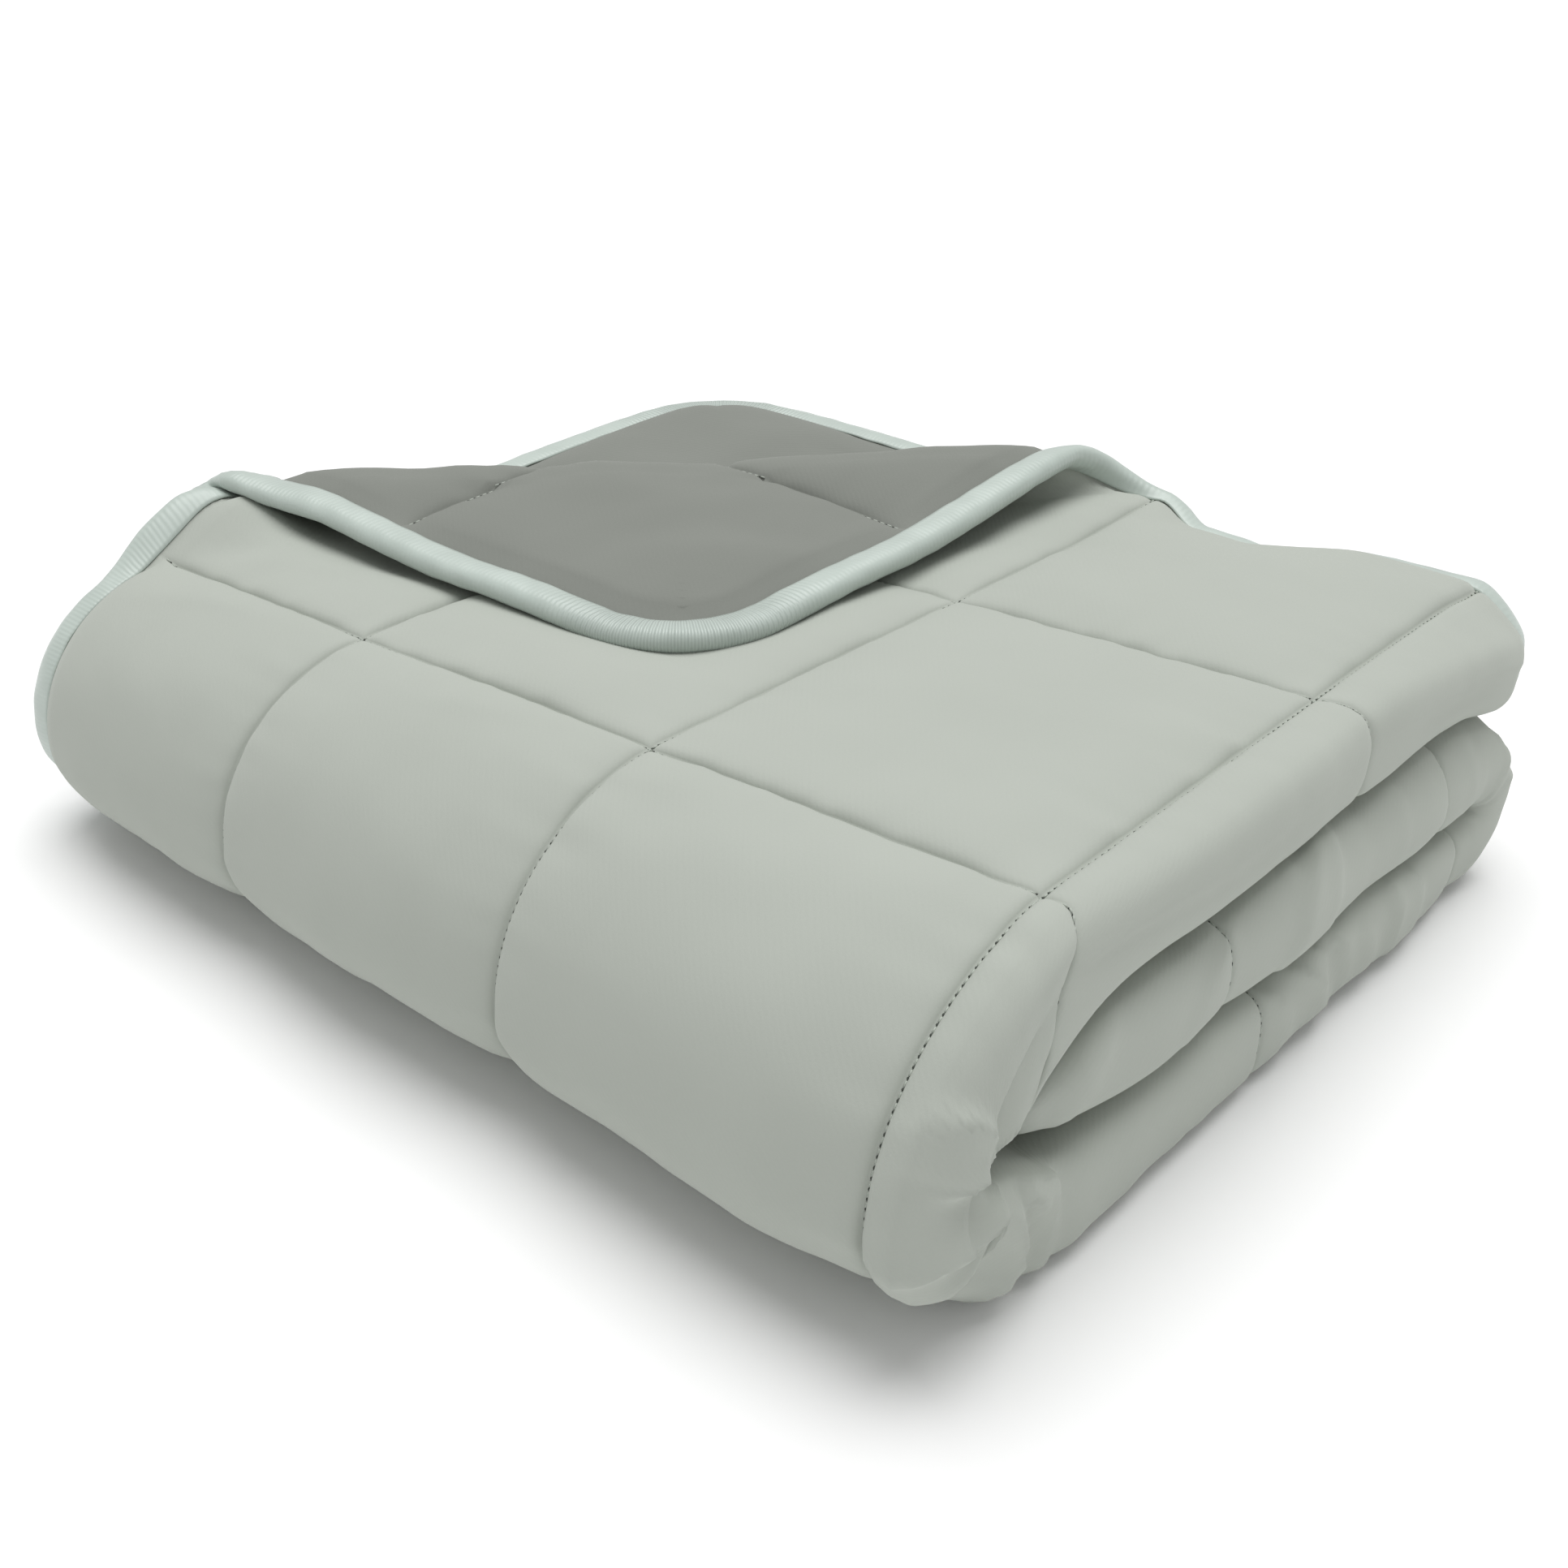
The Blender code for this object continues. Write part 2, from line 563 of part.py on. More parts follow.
for old in list(bpy.data.objects):
    bpy.data.objects.remove(old, do_unlink=True)

NET, TRIANGLES, RIM, ON_BEND = flat_net()
LIGHT_FACE, DARK_FACE = faces_of_ply(NET[:, 0], NET[:, 1])
UNDERSIDE = DARK_FACE - REVERSE
PIECES = {
    "quilted_top": (
        cloth_solid(NET, TRIANGLES, LIGHT_FACE, UNDERSIDE - GAP),
        principled("sage_microfibre", (0.47, 0.51, 0.46, 1), 0.85),
    ),
    "reverse_cloth": (
        cloth_solid(NET, TRIANGLES, UNDERSIDE, DARK_FACE),
        principled("grey_microfibre", (0.27, 0.29, 0.25, 1), 0.85),
    ),
    "satin_binding": (
        binding_solid(RIM, ON_BEND),
        principled("green_satin", (0.50, 0.58, 0.54, 1), 0.40),
    ),
}
EVERY_POINT = np.concatenate([points for (points, _), _ in PIECES.values()])
LOWEST = EVERY_POINT.min(axis=0)
HIGHEST = EVERY_POINT.max(axis=0)
CENTRE = (LOWEST + HIGHEST) / 2
CENTRE[2] = LOWEST[2]
for piece_name, ((piece_points, piece_faces), piece_material) in PIECES.items():
    pressed = piece_points[:, 2] < LOWEST[2] + REST_PRESS
    piece_points[pressed, 2] = LOWEST[2]
    make_object(piece_name, piece_points - CENTRE, piece_faces, piece_material)
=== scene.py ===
"""A folded weighted blanket, dressed in its cloth, thread and binding, around its solids."""

import math

import bpy
import numpy as np
from mathutils import Matrix, Vector
from mathutils.geometry import delaunay_2d_cdt


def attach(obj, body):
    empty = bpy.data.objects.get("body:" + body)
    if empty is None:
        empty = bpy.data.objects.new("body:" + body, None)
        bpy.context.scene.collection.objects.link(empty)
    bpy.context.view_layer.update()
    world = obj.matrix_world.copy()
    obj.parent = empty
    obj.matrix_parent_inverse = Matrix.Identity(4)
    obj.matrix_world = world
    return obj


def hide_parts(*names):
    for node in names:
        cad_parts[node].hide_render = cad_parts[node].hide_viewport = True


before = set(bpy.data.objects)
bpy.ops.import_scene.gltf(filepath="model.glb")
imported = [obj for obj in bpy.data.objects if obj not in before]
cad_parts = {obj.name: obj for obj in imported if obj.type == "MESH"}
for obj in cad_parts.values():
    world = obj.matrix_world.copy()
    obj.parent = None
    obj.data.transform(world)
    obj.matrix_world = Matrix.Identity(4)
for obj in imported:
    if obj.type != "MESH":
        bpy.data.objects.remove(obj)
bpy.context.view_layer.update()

# ---------------------------------------------------------------------------
# Quilted top. Pale sage microfibre over a layer of fibre and glass beads, sewn
# through in squares. It is folded in half to the right, then in three, and its
# far left corner is turned back on the diagonal.
# ---------------------------------------------------------------------------

# Quilting, across and along the cloth
COLUMN = 0.1306            # seam to seam in the top ply
FOLD_COLUMN = 0.080        # the column that the lengthwise fold runs through
UNDER_COLUMN = 0.1272      # seam to seam in the ply underneath
ROW = 0.1524               # seam to seam along the cloth
LENGTH = 1.163             # of the cut cloth
CORNER_RADIUS = 0.046      # of its four corners

# Thickness
PLY = 0.0154               # one ply at its fullest
SEAM_DEPTH = 0.0052        # depth of a seam in the light face, as the folds allow for it
FACE_SINK = 0.0044         # and as it is drawn, a little shallower
BACK_DEPTH = 0.0042        # depth of a seam in the darker reverse
SEAM_MIDDLE = (SEAM_DEPTH + PLY - BACK_DEPTH) / 2   # half-way through the cloth at a seam
PUFF_REACH = 0.0095        # how fast the padding rises beside a seam
SEAM_SHARP = 0.0012        # reach of the sharp part close beside the thread
SHARP_SHARE = 0.36         # and its share of the rise
LEVEL = 1.03               # over 1, so that the middle of a square is level
ROWS_IN_FOLD = 0.42        # how much of a seam shows on the bend of the long fold
BAND = 0.0326              # both plies
LAYER = 0.0338             # from one doubled layer to the next
REVERSE = 0.0010           # thickness of the reverse cloth
GAP = 0.0004               # between one piece and the next
CROWN = 0.0030             # extra fullness of the squares that nothing presses

# The bound edge
EDGE_HALF = 0.0024         # half of the cloth's thickness inside the binding
EDGE_INSET = 0.0036        # the cloth stops this far inside the binding's outer edge
STITCH_LINE = 0.0144       # and is flat up to here

# The three layers, seen from the left: y runs to the back
BACK_EDGE = 0.3048         # bound edge of the top layer, before it sags
TOP = 3 * LAYER - 0.001    # height of the top layer
TURN_TOP_Y = 0.006         # where the front turn leaves the top layer
TURN_LOW_Y = -0.012        # and where it reaches the bottom layer
FOLD_FULLNESS = 0.72       # below 1 the long fold is fuller than half a circle
FOLD_SWELL = 0.12          # and its outer ply swells
FRONT_Y = -0.065           # how far the front turn comes forward
FRONT_Z = 0.040            # height of the front's foremost line
CAP_Y, CAP_Z = -0.035, 0.0495   # middle of the roll, seen from the right
CAP_SLIDE_Y, CAP_SLIDE_Z = 0.023, 0.0105   # it lies further back and lower at the foot
CAP_ROUND = 0.012          # radius of the roll's rim
CAP_DOME = 0.004           # its end bulges
CAP_CLOSE = 0.93           # and closes this far towards the middle
CAP_DIMPLE = 0.005         # where it is drawn in
FRONT_LENGTH = 0.200       # cloth in the front turn
HOLLOW_Y = -0.035          # inside of the front turn
BACK_TURN_Y = 0.262        # where the turn at the back begins
BACK_STRETCH = 0.004       # and how much fuller than half a circle it is
END_THIN = 0.42            # share by which the middle layer's bound end is thinner

# The corner that is turned back
FOLD_LINE = 0.2235         # from the seam crossing at the origin, on the diagonal
FOLD_OPEN = 0.0019         # inside radius at the middle of the turned edge
FOLD_OPEN_ENDS = 0.0012    # added towards its two ends
FOLD_MIDDLE = 0.031        # middle of the turned edge, along the diagonal
FOLD_REACH = 0.193         # and from there to its ends
FOLD_SLIP = 0.018          # how far the corner slips along the edge as it turns
TOE_RISE = 0.004           # the cloth rises towards the ends of the turned edge
TIP_DROP = 0.0045          # and the corner's tip drops
LEFT_SHIFT = 0.009         # the fold's left end lies nearer the front
LEFT_PRESS = 0.0060        # and is pressed flat
LEFT_LIFT = 0.0215         # its bound edge ramps up to it
LEFT_CLOSE = 0.0090        # and closes on the corner that lies over it
TURNED_SINK = 0.0020       # its seams are pulled in deeper on the reverse
VALLEY_REACH = 0.015       # and this wide
FLAP_PRESS = 0.6           # how flat the light face is pressed under the corner
FLAP_CLEAR = 0.0025        # and how far the corner stays above it

# Uneven places of the folded pile
END_TAPER = 0.075          # the bound end of the middle layer narrows over this length
END_IN, END_BACK = 0.008, 0.013   # and draws in from the right and to the front
END_Z, END_PINCH = 0.052, 0.8     # towards this height, by this share
CORNER_REACH = 0.024       # the ply underneath reaches this much further back
CORNER_RISE = 0.013        # and its bare corner lifts
SAG, SAG_BELOW = 0.004, 0.012     # the back edge hangs, its lower ply the most
DIP_IN, DIP_DOWN = 0.0085, 0.0075 # the far edge draws in and dips beside the long fold
LOW_SPREAD = 0.026         # the lower layers' slant to the right
LOW_SHORT = 0.012          # and how far they fall short at the back
FAR_PRESS = 0.13           # share by which the long fold's far end is lower
ROLL_ROUND = 0.0055        # rounding under the roll's right end
BULGE_X = [-0.262, -0.131, 0.0, 0.131]
BULGE = [0.86, 0.98, 1.01, 1.07]  # fullness of the front turn at those places
PILE_HEIGHT = [0.95, 1.075]       # height of the pile at its left and right

# Seams and ends that follow from these; u runs across the flat cloth, v along it
SEAMS_U = [COLUMN * k for k in range(4)]
SEAMS_U += [SEAMS_U[3] + FOLD_COLUMN + UNDER_COLUMN * k for k in range(4)]
WIDTH = SEAMS_U[-1]
SEAMS_V = [ROW * k for k in range(8)] + [LENGTH]
HALF = BAND / 2
X_LEFT = -2 * COLUMN
U_ARC = SEAMS_U[3] + 0.004
X_ARC = U_ARC + X_LEFT
ARC = math.pi * HALF
V_TURN = BACK_EDGE - TURN_TOP_Y
V_UNDER = V_TURN + FRONT_LENGTH
V_BACK = V_UNDER + BACK_TURN_Y - TURN_LOW_Y
BACK_RADIUS = LAYER - 0.0005
V_MIDDLE = V_BACK + math.pi * BACK_RADIUS
ROOT2 = math.sqrt(2)


def ease(low, high, value):
    """Rises smoothly from 0 at low to 1 at high."""
    t = np.clip((value - low) / (high - low), 0, 1)
    return t * t * (3 - 2 * t)


def seam_distance(value, seams):
    """Distance to the nearest seam."""
    return np.min([np.abs(value - s) for s in seams], axis=0)


def cell_swell(value, seams):
    """0 on every seam and 1 half-way between two."""
    cell = np.clip(np.searchsorted(seams, value) - 1, 0, len(seams) - 2)
    low = np.asarray(seams)[cell]
    high = np.asarray(seams)[cell + 1]
    return np.sin(math.pi * np.clip((value - low) / (high - low), 0, 1))


def inset(u, v):
    """Distance in from the cloth's outer edge."""
    return np.minimum(np.minimum(u, WIDTH - u), np.minimum(v, LENGTH - v))


def puff(u, v):
    """How far the padding has risen: 0 on a seam, 1 in the middle of a square."""
    inner_u = [STITCH_LINE] + SEAMS_U[1:-1] + [WIDTH - STITCH_LINE]
    inner_v = [STITCH_LINE] + SEAMS_V[1:-1] + [LENGTH - STITCH_LINE]
    beside_u, beside_v = seam_distance(u, inner_u), seam_distance(v, inner_v)
    across = 1 - (1 - SHARP_SHARE) * np.exp(-beside_u / PUFF_REACH)
    across = across - SHARP_SHARE * np.exp(-beside_u / SEAM_SHARP)
    along = (1 - SHARP_SHARE) * np.exp(-beside_v / PUFF_REACH)
    along = along + SHARP_SHARE * np.exp(-beside_v / SEAM_SHARP)
    bent = ease(U_ARC - 0.020, U_ARC + 0.004, u) * (1 - ease(U_ARC + ARC, U_ARC + ARC + 0.03, u))
    along = 1 - along * (1 - (1 - ROWS_IN_FOLD) * bent)
    return np.where(inset(u, v) > STITCH_LINE, np.minimum(LEVEL * across * along, 1), 0)


def under_flap(u, v):
    """1 where the turned-back corner lies on the top ply, or is it."""
    x = u + X_LEFT
    y = BACK_EDGE - v
    covered = ease(-0.005, -0.035, x) * ease(0.025, 0.055, y)
    return covered * (u < U_ARC) * (v < V_TURN)


def faces_of_ply(u, v):
    """Depth of the light face and of the reverse, from the ply's light side."""
    full = puff(u, v)
    swell = cell_swell(u, SEAMS_U) * cell_swell(v, SEAMS_V)
    free = (1 - ease(V_TURN + 0.13, V_TURN + 0.18, v)) * (1 - under_flap(u, v))
    free = free * (u < U_ARC + ARC / 2)
    pressed = FLAP_PRESS * under_flap(u, v)
    light = FACE_SINK * (1 - full * (1 - pressed)) - CROWN * swell * free
    turned = (u + v < 0.21) | ((u > WIDTH - 0.20) & (v < 0.13))
    dark = PLY - BACK_DEPTH * (1 - full) + CROWN * swell * turned
    valley = np.exp(-seam_distance(u, SEAMS_U[1:-1]) / VALLEY_REACH)
    valley = valley + np.exp(-seam_distance(v, SEAMS_V[1:-1]) / VALLEY_REACH)
    dark = dark - TURNED_SINK * turned * np.minimum(valley, 1.2)
    edge = inset(u, v) <= STITCH_LINE + 1e-6
    light = np.where(edge, SEAM_MIDDLE - EDGE_HALF, light)
    dark = np.where(edge, SEAM_MIDDLE + EDGE_HALF, dark)
    return light, dark


def shift_corners(u, v, share_of):
    """Moves the points of the four corners by a share of how far they lie into the corner."""
    p = np.maximum(CORNER_RADIUS - u, u - WIDTH + CORNER_RADIUS)
    q = np.maximum(CORNER_RADIUS - v, v - LENGTH + CORNER_RADIUS)
    inside = (p > 1e-9) & (q > 1e-9)
    p_safe = np.where(inside, p, 1.0)
    q_safe = np.where(inside, q, 1.0)
    share = np.where(inside, share_of(np.maximum(p_safe, q_safe), np.hypot(p_safe, q_safe)), 0)
    u = u + share * np.where(u < WIDTH / 2, p, -p)
    v = v + share * np.where(v < LENGTH / 2, q, -q)
    return u, v


def round_corners(u, v):
    """Draws the cloth's four square corners in to arcs."""
    return shift_corners(u, v, lambda square, arc: 1 - square / arc)


def square_corners(u, v):
    """The place in the square-cornered cloth that round_corners brings to this one."""
    return shift_corners(u, v, lambda square, arc: 1 - arc / square)


def across_band(u, e):
    """The lengthwise fold: x, and the depth below the band's outer side.

    The fold is fuller than half a circle, so that each layer presses on the next.
    """
    s = u - U_ARC
    angle = np.clip(s / HALF, 0, math.pi)
    x = X_ARC + (HALF - e + 0.001) * np.abs(np.sin(angle)) ** FOLD_FULLNESS
    x = x + np.minimum(s, 0) - np.maximum(s - ARC, 0)
    fold = np.sin(angle) ** 2 * np.clip(1 - e / PLY, 0, 1)
    flank = np.sign(np.cos(angle)) * np.abs(np.cos(angle)) ** FOLD_FULLNESS
    return x, HALF - (HALF - e) * flank * (1 + FOLD_SWELL * fold)


def front_outline(angle):
    """Outer and inner side of the front turn, from its top (0) to its foot (pi)."""
    upper = angle < math.pi / 2
    start = np.where(upper, TURN_TOP_Y, TURN_LOW_Y)
    rise = np.where(upper, TOP - FRONT_Z, FRONT_Z)
    y_out = start - (start - FRONT_Y) * np.sin(angle)
    z_out = FRONT_Z + rise * np.cos(angle)
    y_in = start - (start - HOLLOW_Y) * np.sin(angle)
    z_in = TOP / 2 + (TOP / 2 - BAND) * np.cos(angle)
    return y_out, z_out, y_in, z_in


STEPS = np.linspace(0, math.pi, 361)
OUT_Y, OUT_Z = front_outline(STEPS)[:2]
RUN = np.concatenate([[0], np.cumsum(np.hypot(np.diff(OUT_Y), np.diff(OUT_Z)))])
RUN = RUN * FRONT_LENGTH / RUN[-1]


def along_band(v, depth):
    """The fold in three: y and z of a point this deep in the band."""
    angle = np.interp(v - V_TURN, RUN, STEPS)
    y_out, z_out, y_in, z_in = front_outline(angle)
    share = depth / BAND
    y_turn = y_out + (y_in - y_out) * share
    z_turn = z_out + (z_in - z_out) * share
    back = np.clip((v - V_BACK) / BACK_RADIUS, 0, math.pi)
    y_back = BACK_TURN_Y + (BACK_RADIUS - depth + BACK_STRETCH) * np.sin(back)
    z_back = BACK_RADIUS - (BACK_RADIUS - depth) * np.cos(back)
    end = ease(LENGTH - 0.055, LENGTH - 0.012, v)
    z_mid = z_back + end * END_THIN * (depth - HALF)
    y = np.select(
        [v <= V_TURN, v < V_UNDER, v <= V_BACK, v <= V_MIDDLE],
        [BACK_EDGE - v, y_turn, TURN_LOW_Y + v - V_UNDER, y_back],
        BACK_TURN_Y - (v - V_MIDDLE),
    )
    z = np.select(
        [v <= V_TURN, v < V_UNDER, v <= V_BACK, v <= V_MIDDLE],
        [TOP - depth, z_turn, depth, z_back],
        z_mid,
    )
    return y, z


def front_cap(u, v, e, x, y, z):
    """Closes the front turn's right end: the light face draws in to one point."""
    turn = ease(V_TURN - 0.055, V_TURN + 0.005, v) * (1 - ease(V_UNDER - 0.008, V_UNDER + 0.016, v))
    s = u - U_ARC
    weight = turn * ease(-0.004, 0.012, s) * (1 - ease(0.085, 0.110, s)) * (1 - ease(0.006, 0.011, e))
    angle = np.interp(v - V_TURN, RUN, STEPS)
    y_out, z_out = front_outline(angle)[:2]
    y_out = np.where(v < V_TURN, BACK_EDGE - v, np.where(v > V_UNDER, TURN_LOW_Y + v - V_UNDER, y_out))
    slide = ease(V_UNDER - 0.040, V_UNDER + 0.004, v)
    middle_y, middle_z = CAP_Y + CAP_SLIDE_Y * slide, CAP_Z - CAP_SLIDE_Z * slide
    reach = np.hypot(y_out - middle_y, z_out - middle_z)
    bend = np.clip(s / CAP_ROUND, 0, math.pi / 2)
    straight = np.maximum(s - CAP_ROUND * math.pi / 2, 0)
    inwards = (CAP_ROUND - e) * (1 - np.cos(bend)) + e + straight
    past = np.maximum(inwards - CAP_CLOSE * reach, 0)
    inwards = np.minimum(inwards, CAP_CLOSE * reach)
    dome = CAP_DOME * np.sin(bend) * ease(0, 0.03, straight)
    cap_x = X_ARC + (CAP_ROUND - e) * np.sin(bend) + dome - past
    share = inwards / reach
    cap_x = cap_x - CAP_DIMPLE * ease(0.78, CAP_CLOSE, share) * (1 - slide)
    cap_y = y_out + (middle_y - y_out) * share
    cap_z = z_out + (middle_z - z_out) * share
    return x + weight * (cap_x - x), y + weight * (cap_y - y), z + weight * (cap_z - z)


def bend_shape(t):
    """The turned edge here: how far it opens, its inside radius and where its bend is centred."""
    open_up = np.clip(((t - FOLD_MIDDLE) / FOLD_REACH) ** 2, 0, 1.5)
    left = ease(-0.090, -0.155, t)
    inside = FOLD_OPEN + FOLD_OPEN_ENDS * open_up * (1 - left)
    return open_up * (1 - left), left, inside, FOLD_LINE - LEFT_SHIFT * left


def turn_back(x, y, z, edge):
    """Rolls the far left corner of the top ply over towards the front.

    The roll is tight at its left end, where edge is 1 along the bound edge.
    """
    n = (y - x) / ROOT2
    t = (x + y) / ROOT2
    open_up, left, inside, centre = bend_shape(t)
    radius = inside + PLY / 2
    start = centre - math.pi * radius / 2
    s = n - start
    angle = np.clip(s / radius, 0, math.pi)
    past = np.maximum(s - math.pi * radius, 0)
    reach = inside + TOP - z
    toe = TOE_RISE * open_up * ease(-0.050, 0.0, s)
    n_new = np.where(s > 0, start + reach * np.sin(angle) - past, n)
    z_new = np.where(s > 0, TOP + inside - reach * np.cos(angle), z)
    settle = 2 * inside - FLAP_CLEAR + toe + 2 * SEAM_DEPTH * FLAP_PRESS
    z_new = z_new + toe - settle * ease(0, 0.085, past)
    z_new = z_new - TIP_DROP * ease(0.085, 0.150, past)
    z_new = z_new - LEFT_PRESS * edge * ease(-0.130, -0.160, t) * (1 - np.cos(angle)) / 2
    t_new = t - FOLD_SLIP * angle / math.pi
    return (t_new - n_new) / ROOT2, (t_new + n_new) / ROOT2, z_new


def place(u, v, e):
    """Where a point of the flat cloth lies once it is folded; e is its depth."""
    u, v = round_corners(u, v)
    x, depth = across_band(u, e)
    y, z = along_band(v, depth)
    x, y, z = front_cap(u, v, e, x, y, z)

    # The middle layer's bound end narrows to a wedge beside the roll
    wedge = ease(LENGTH - END_TAPER, LENGTH, v) * ease(0.080, 0.120, x)
    x = x - END_IN * wedge * ease(0.12, 0.14, x)
    y = y - END_BACK * wedge
    squeeze = np.where(z > END_Z, ease(0.012, -0.034, y), ease(-0.004, -0.036, y))
    z = z + END_PINCH * (END_Z - z) * squeeze * wedge

    # The far left corner turns back, and the left edge ramps up to its fold
    top_layer = v <= V_TURN
    upper = top_layer & (u < U_ARC)
    before = (y - x) / ROOT2
    ramp = ease(-0.108, -0.165, (x + y) / ROOT2) * ((u < U_ARC) & (v < V_TURN + 0.06))
    ramp = ramp * (LEFT_LIFT * ease(0.167, 0.200, before) - LEFT_CLOSE * ease(0.203, 0.235, before))
    xt, yt, zt = turn_back(x, y, z, 1 - ease(0.004, 0.018, inset(u, v)))
    x, y, z = (np.where(upper, a, b) for a, b in ((xt, x), (yt, y), (zt, z)))
    z = z + ramp * np.where(before > FOLD_LINE, ease(0.150, 0.205, (y - x) / ROOT2), 1)

    # The ply underneath reaches further back, and its bare corner lifts
    under = top_layer & (u > U_ARC + ARC)
    reach = ease(U_ARC + ARC, U_ARC + ARC + 0.12, u) * ease(0.30, 0.0, v)
    y = y + np.where(under, CORNER_REACH * reach, 0)
    n = (y - x) / ROOT2
    z = z + np.where(under, CORNER_RISE * ease(0.217, 0.40, n), 0)

    # Overhang at the back sags, most of all at the right
    sag = ease(0.240, 0.330, y) * ease(-0.02, 0.15, x) * top_layer
    z = z - sag * (SAG + SAG_BELOW * depth / BAND)

    # The far edge dips and draws in between the turned corner and the fold
    dip = ease(0.000, 0.023, x) * (1 - ease(0.042, 0.090, x)) * ease(0.23, 0.310, y)
    dip = dip * top_layer * np.where(upper, 1, 0.5)
    y = y - DIP_IN * dip
    z = z - DIP_DOWN * dip

    # Lower layers spread to the right at the back, but reach less far
    low = 1 - ease(0.048, 0.066, z)
    x = x + LOW_SPREAD * np.maximum(y, 0) * low * ease(-0.10, 0.13, x)
    y = y - LOW_SHORT * low * ease(0.10, 0.150, x) * ease(0.15, 0.29, y)

    # The far end of the long fold is pressed lower
    z = z * (1 - FAR_PRESS * ease(0.126, 0.150, x) * ease(0.16, 0.30, y))

    # The roll's right end is rounder underneath
    z = z + ROLL_ROUND * ease(0.105, 0.140, x) * ease(0.030, 0.004, z) * ease(-0.020, -0.050, y)

    # The front bulges more at the right, and the pile is thinner at the left
    y = np.where(y < 0, y * np.interp(x, BULGE_X, BULGE), y)
    z = z * np.interp(x, [BULGE_X[0], BULGE_X[-1]], PILE_HEIGHT)
    return x, y, z


CENTRE = np.array([-0.05627, 0.12905, 0.0])   # middle of the folded shape, seen from above


def waves(u, v, length, seed, count=14):
    """Soft unevenness of about this wavelength, between -1 and 1."""
    draw = np.random.RandomState(seed)
    total = np.zeros(np.broadcast(u, v).shape)
    for _ in range(count):
        way = draw.uniform(0, 2 * math.pi)
        step = 2 * math.pi / (length * draw.uniform(0.75, 1.5))
        total = total + np.sin(step * (math.cos(way) * u + math.sin(way) * v) + draw.uniform(0, 6.3))
    return total / math.sqrt(2 * count)


def puckers(u, v):
    """Small gathers that run off both sides of every seam."""
    found = np.zeros(np.broadcast(u, v).shape)
    for along, across, seams, seed in ((v, u, SEAMS_U[1:-1], 5), (u, v, SEAMS_V[1:-1], 9)):
        for k, seam in enumerate(seams):
            beside = across - seam
            side = np.where(beside > 0, 1.0, -1.0)
            gather = waves(along, side * 0.4, 0.013, seed + 10 * k, 8)
            gather = gather + 0.8 * waves(along, side * 0.3, 0.027, seed + 50 + k, 6)
            # strongest 5 mm from the seam
            reach = np.abs(beside)
            found = found + gather * np.exp(-reach / 0.013) * (1 - np.exp(-reach / 0.0025))
    return found


# Creases: height in mm, reach in mm, the side that is steep (1 further along v),
# and the line that the crease follows on the flat cloth, as (u, v) in mm
CREASES = [
    (4.1, 9, 1, [(421, 381), (420, 389), (416, 394), (409, 395)]),
    (5.7, 12, 1, [(446, 462), (438, 455), (430, 444), (421, 434), (413, 424), (403, 423)]),
    (4.6, 9, 1, [(440, 463), (430, 460), (422, 457), (412, 452)]),
    (5.4, 10, 1, [(447, 470), (437, 472), (427, 480), (417, 484), (405, 478)]),
    (3.5, 8, -1, [(447, 479), (439, 481), (430, 490)]),
    (4.3, 9, 1, [(445, 502), (436, 497), (422, 499), (408, 499)]),
    (3.5, 8, -1, [(400, 380), (407, 374), (413, 368), (421, 363)]),
    (2.2, 10, 1, [(404, 1128), (415, 1132), (424, 1136)]),
    (1.8, 8, -1, [(405, 1118), (414, 1124), (423, 1131)]),
    (1.8, 8, 1, [(409, 1062), (417, 1074), (424, 1090)]),
    (3.0, 11, 1, [(402, 1010), (409, 1017), (416, 1025), (425, 1034)]),
    (2.4, 9, -1, [(400, 999), (408, 1003), (420, 1008)]),
    (1.6, 7, 1, [(402, 1030), (413, 1032)]),
    (2.0, 9, 1, [(436, 612), (428, 619), (418, 627)]),
    (2.8, 8, 1, [(437, 628), (429, 636), (423, 646), (414, 657)]),
    (2.8, 8, -1, [(441, 650), (434, 654), (423, 664)]),
    (2.4, 7, 1, [(438, 642), (430, 649)]),
    (1.8, 7, 1, [(430, 672), (418, 688)]),
    (2.4, 9, -1, [(438, 697), (429, 699), (419, 702)]),
    (2.2, 8, 1, [(436, 714), (422, 724)]),
    (1.6, 10, 1, [(398, 905), (416, 893)]),
    (1.6, 9, -1, [(399, 960), (418, 952)]),
    (1.8, 8, 1, [(400, 852), (424, 846)]),
    (1.5, 7, 1, [(402, 838), (422, 834)]),
    (1.0, 16, 1, [(30, 338), (70, 322), (118, 311)]),
    (0.8, 12, 1, [(40, 300), (62, 284), (100, 270)]),
    (0.9, 12, -1, [(20, 290), (52, 270)]),
    (0.8, 14, 1, [(180, 330), (236, 312)]),
]
STEEP = 0.28               # share of the reach on a crease's steep side


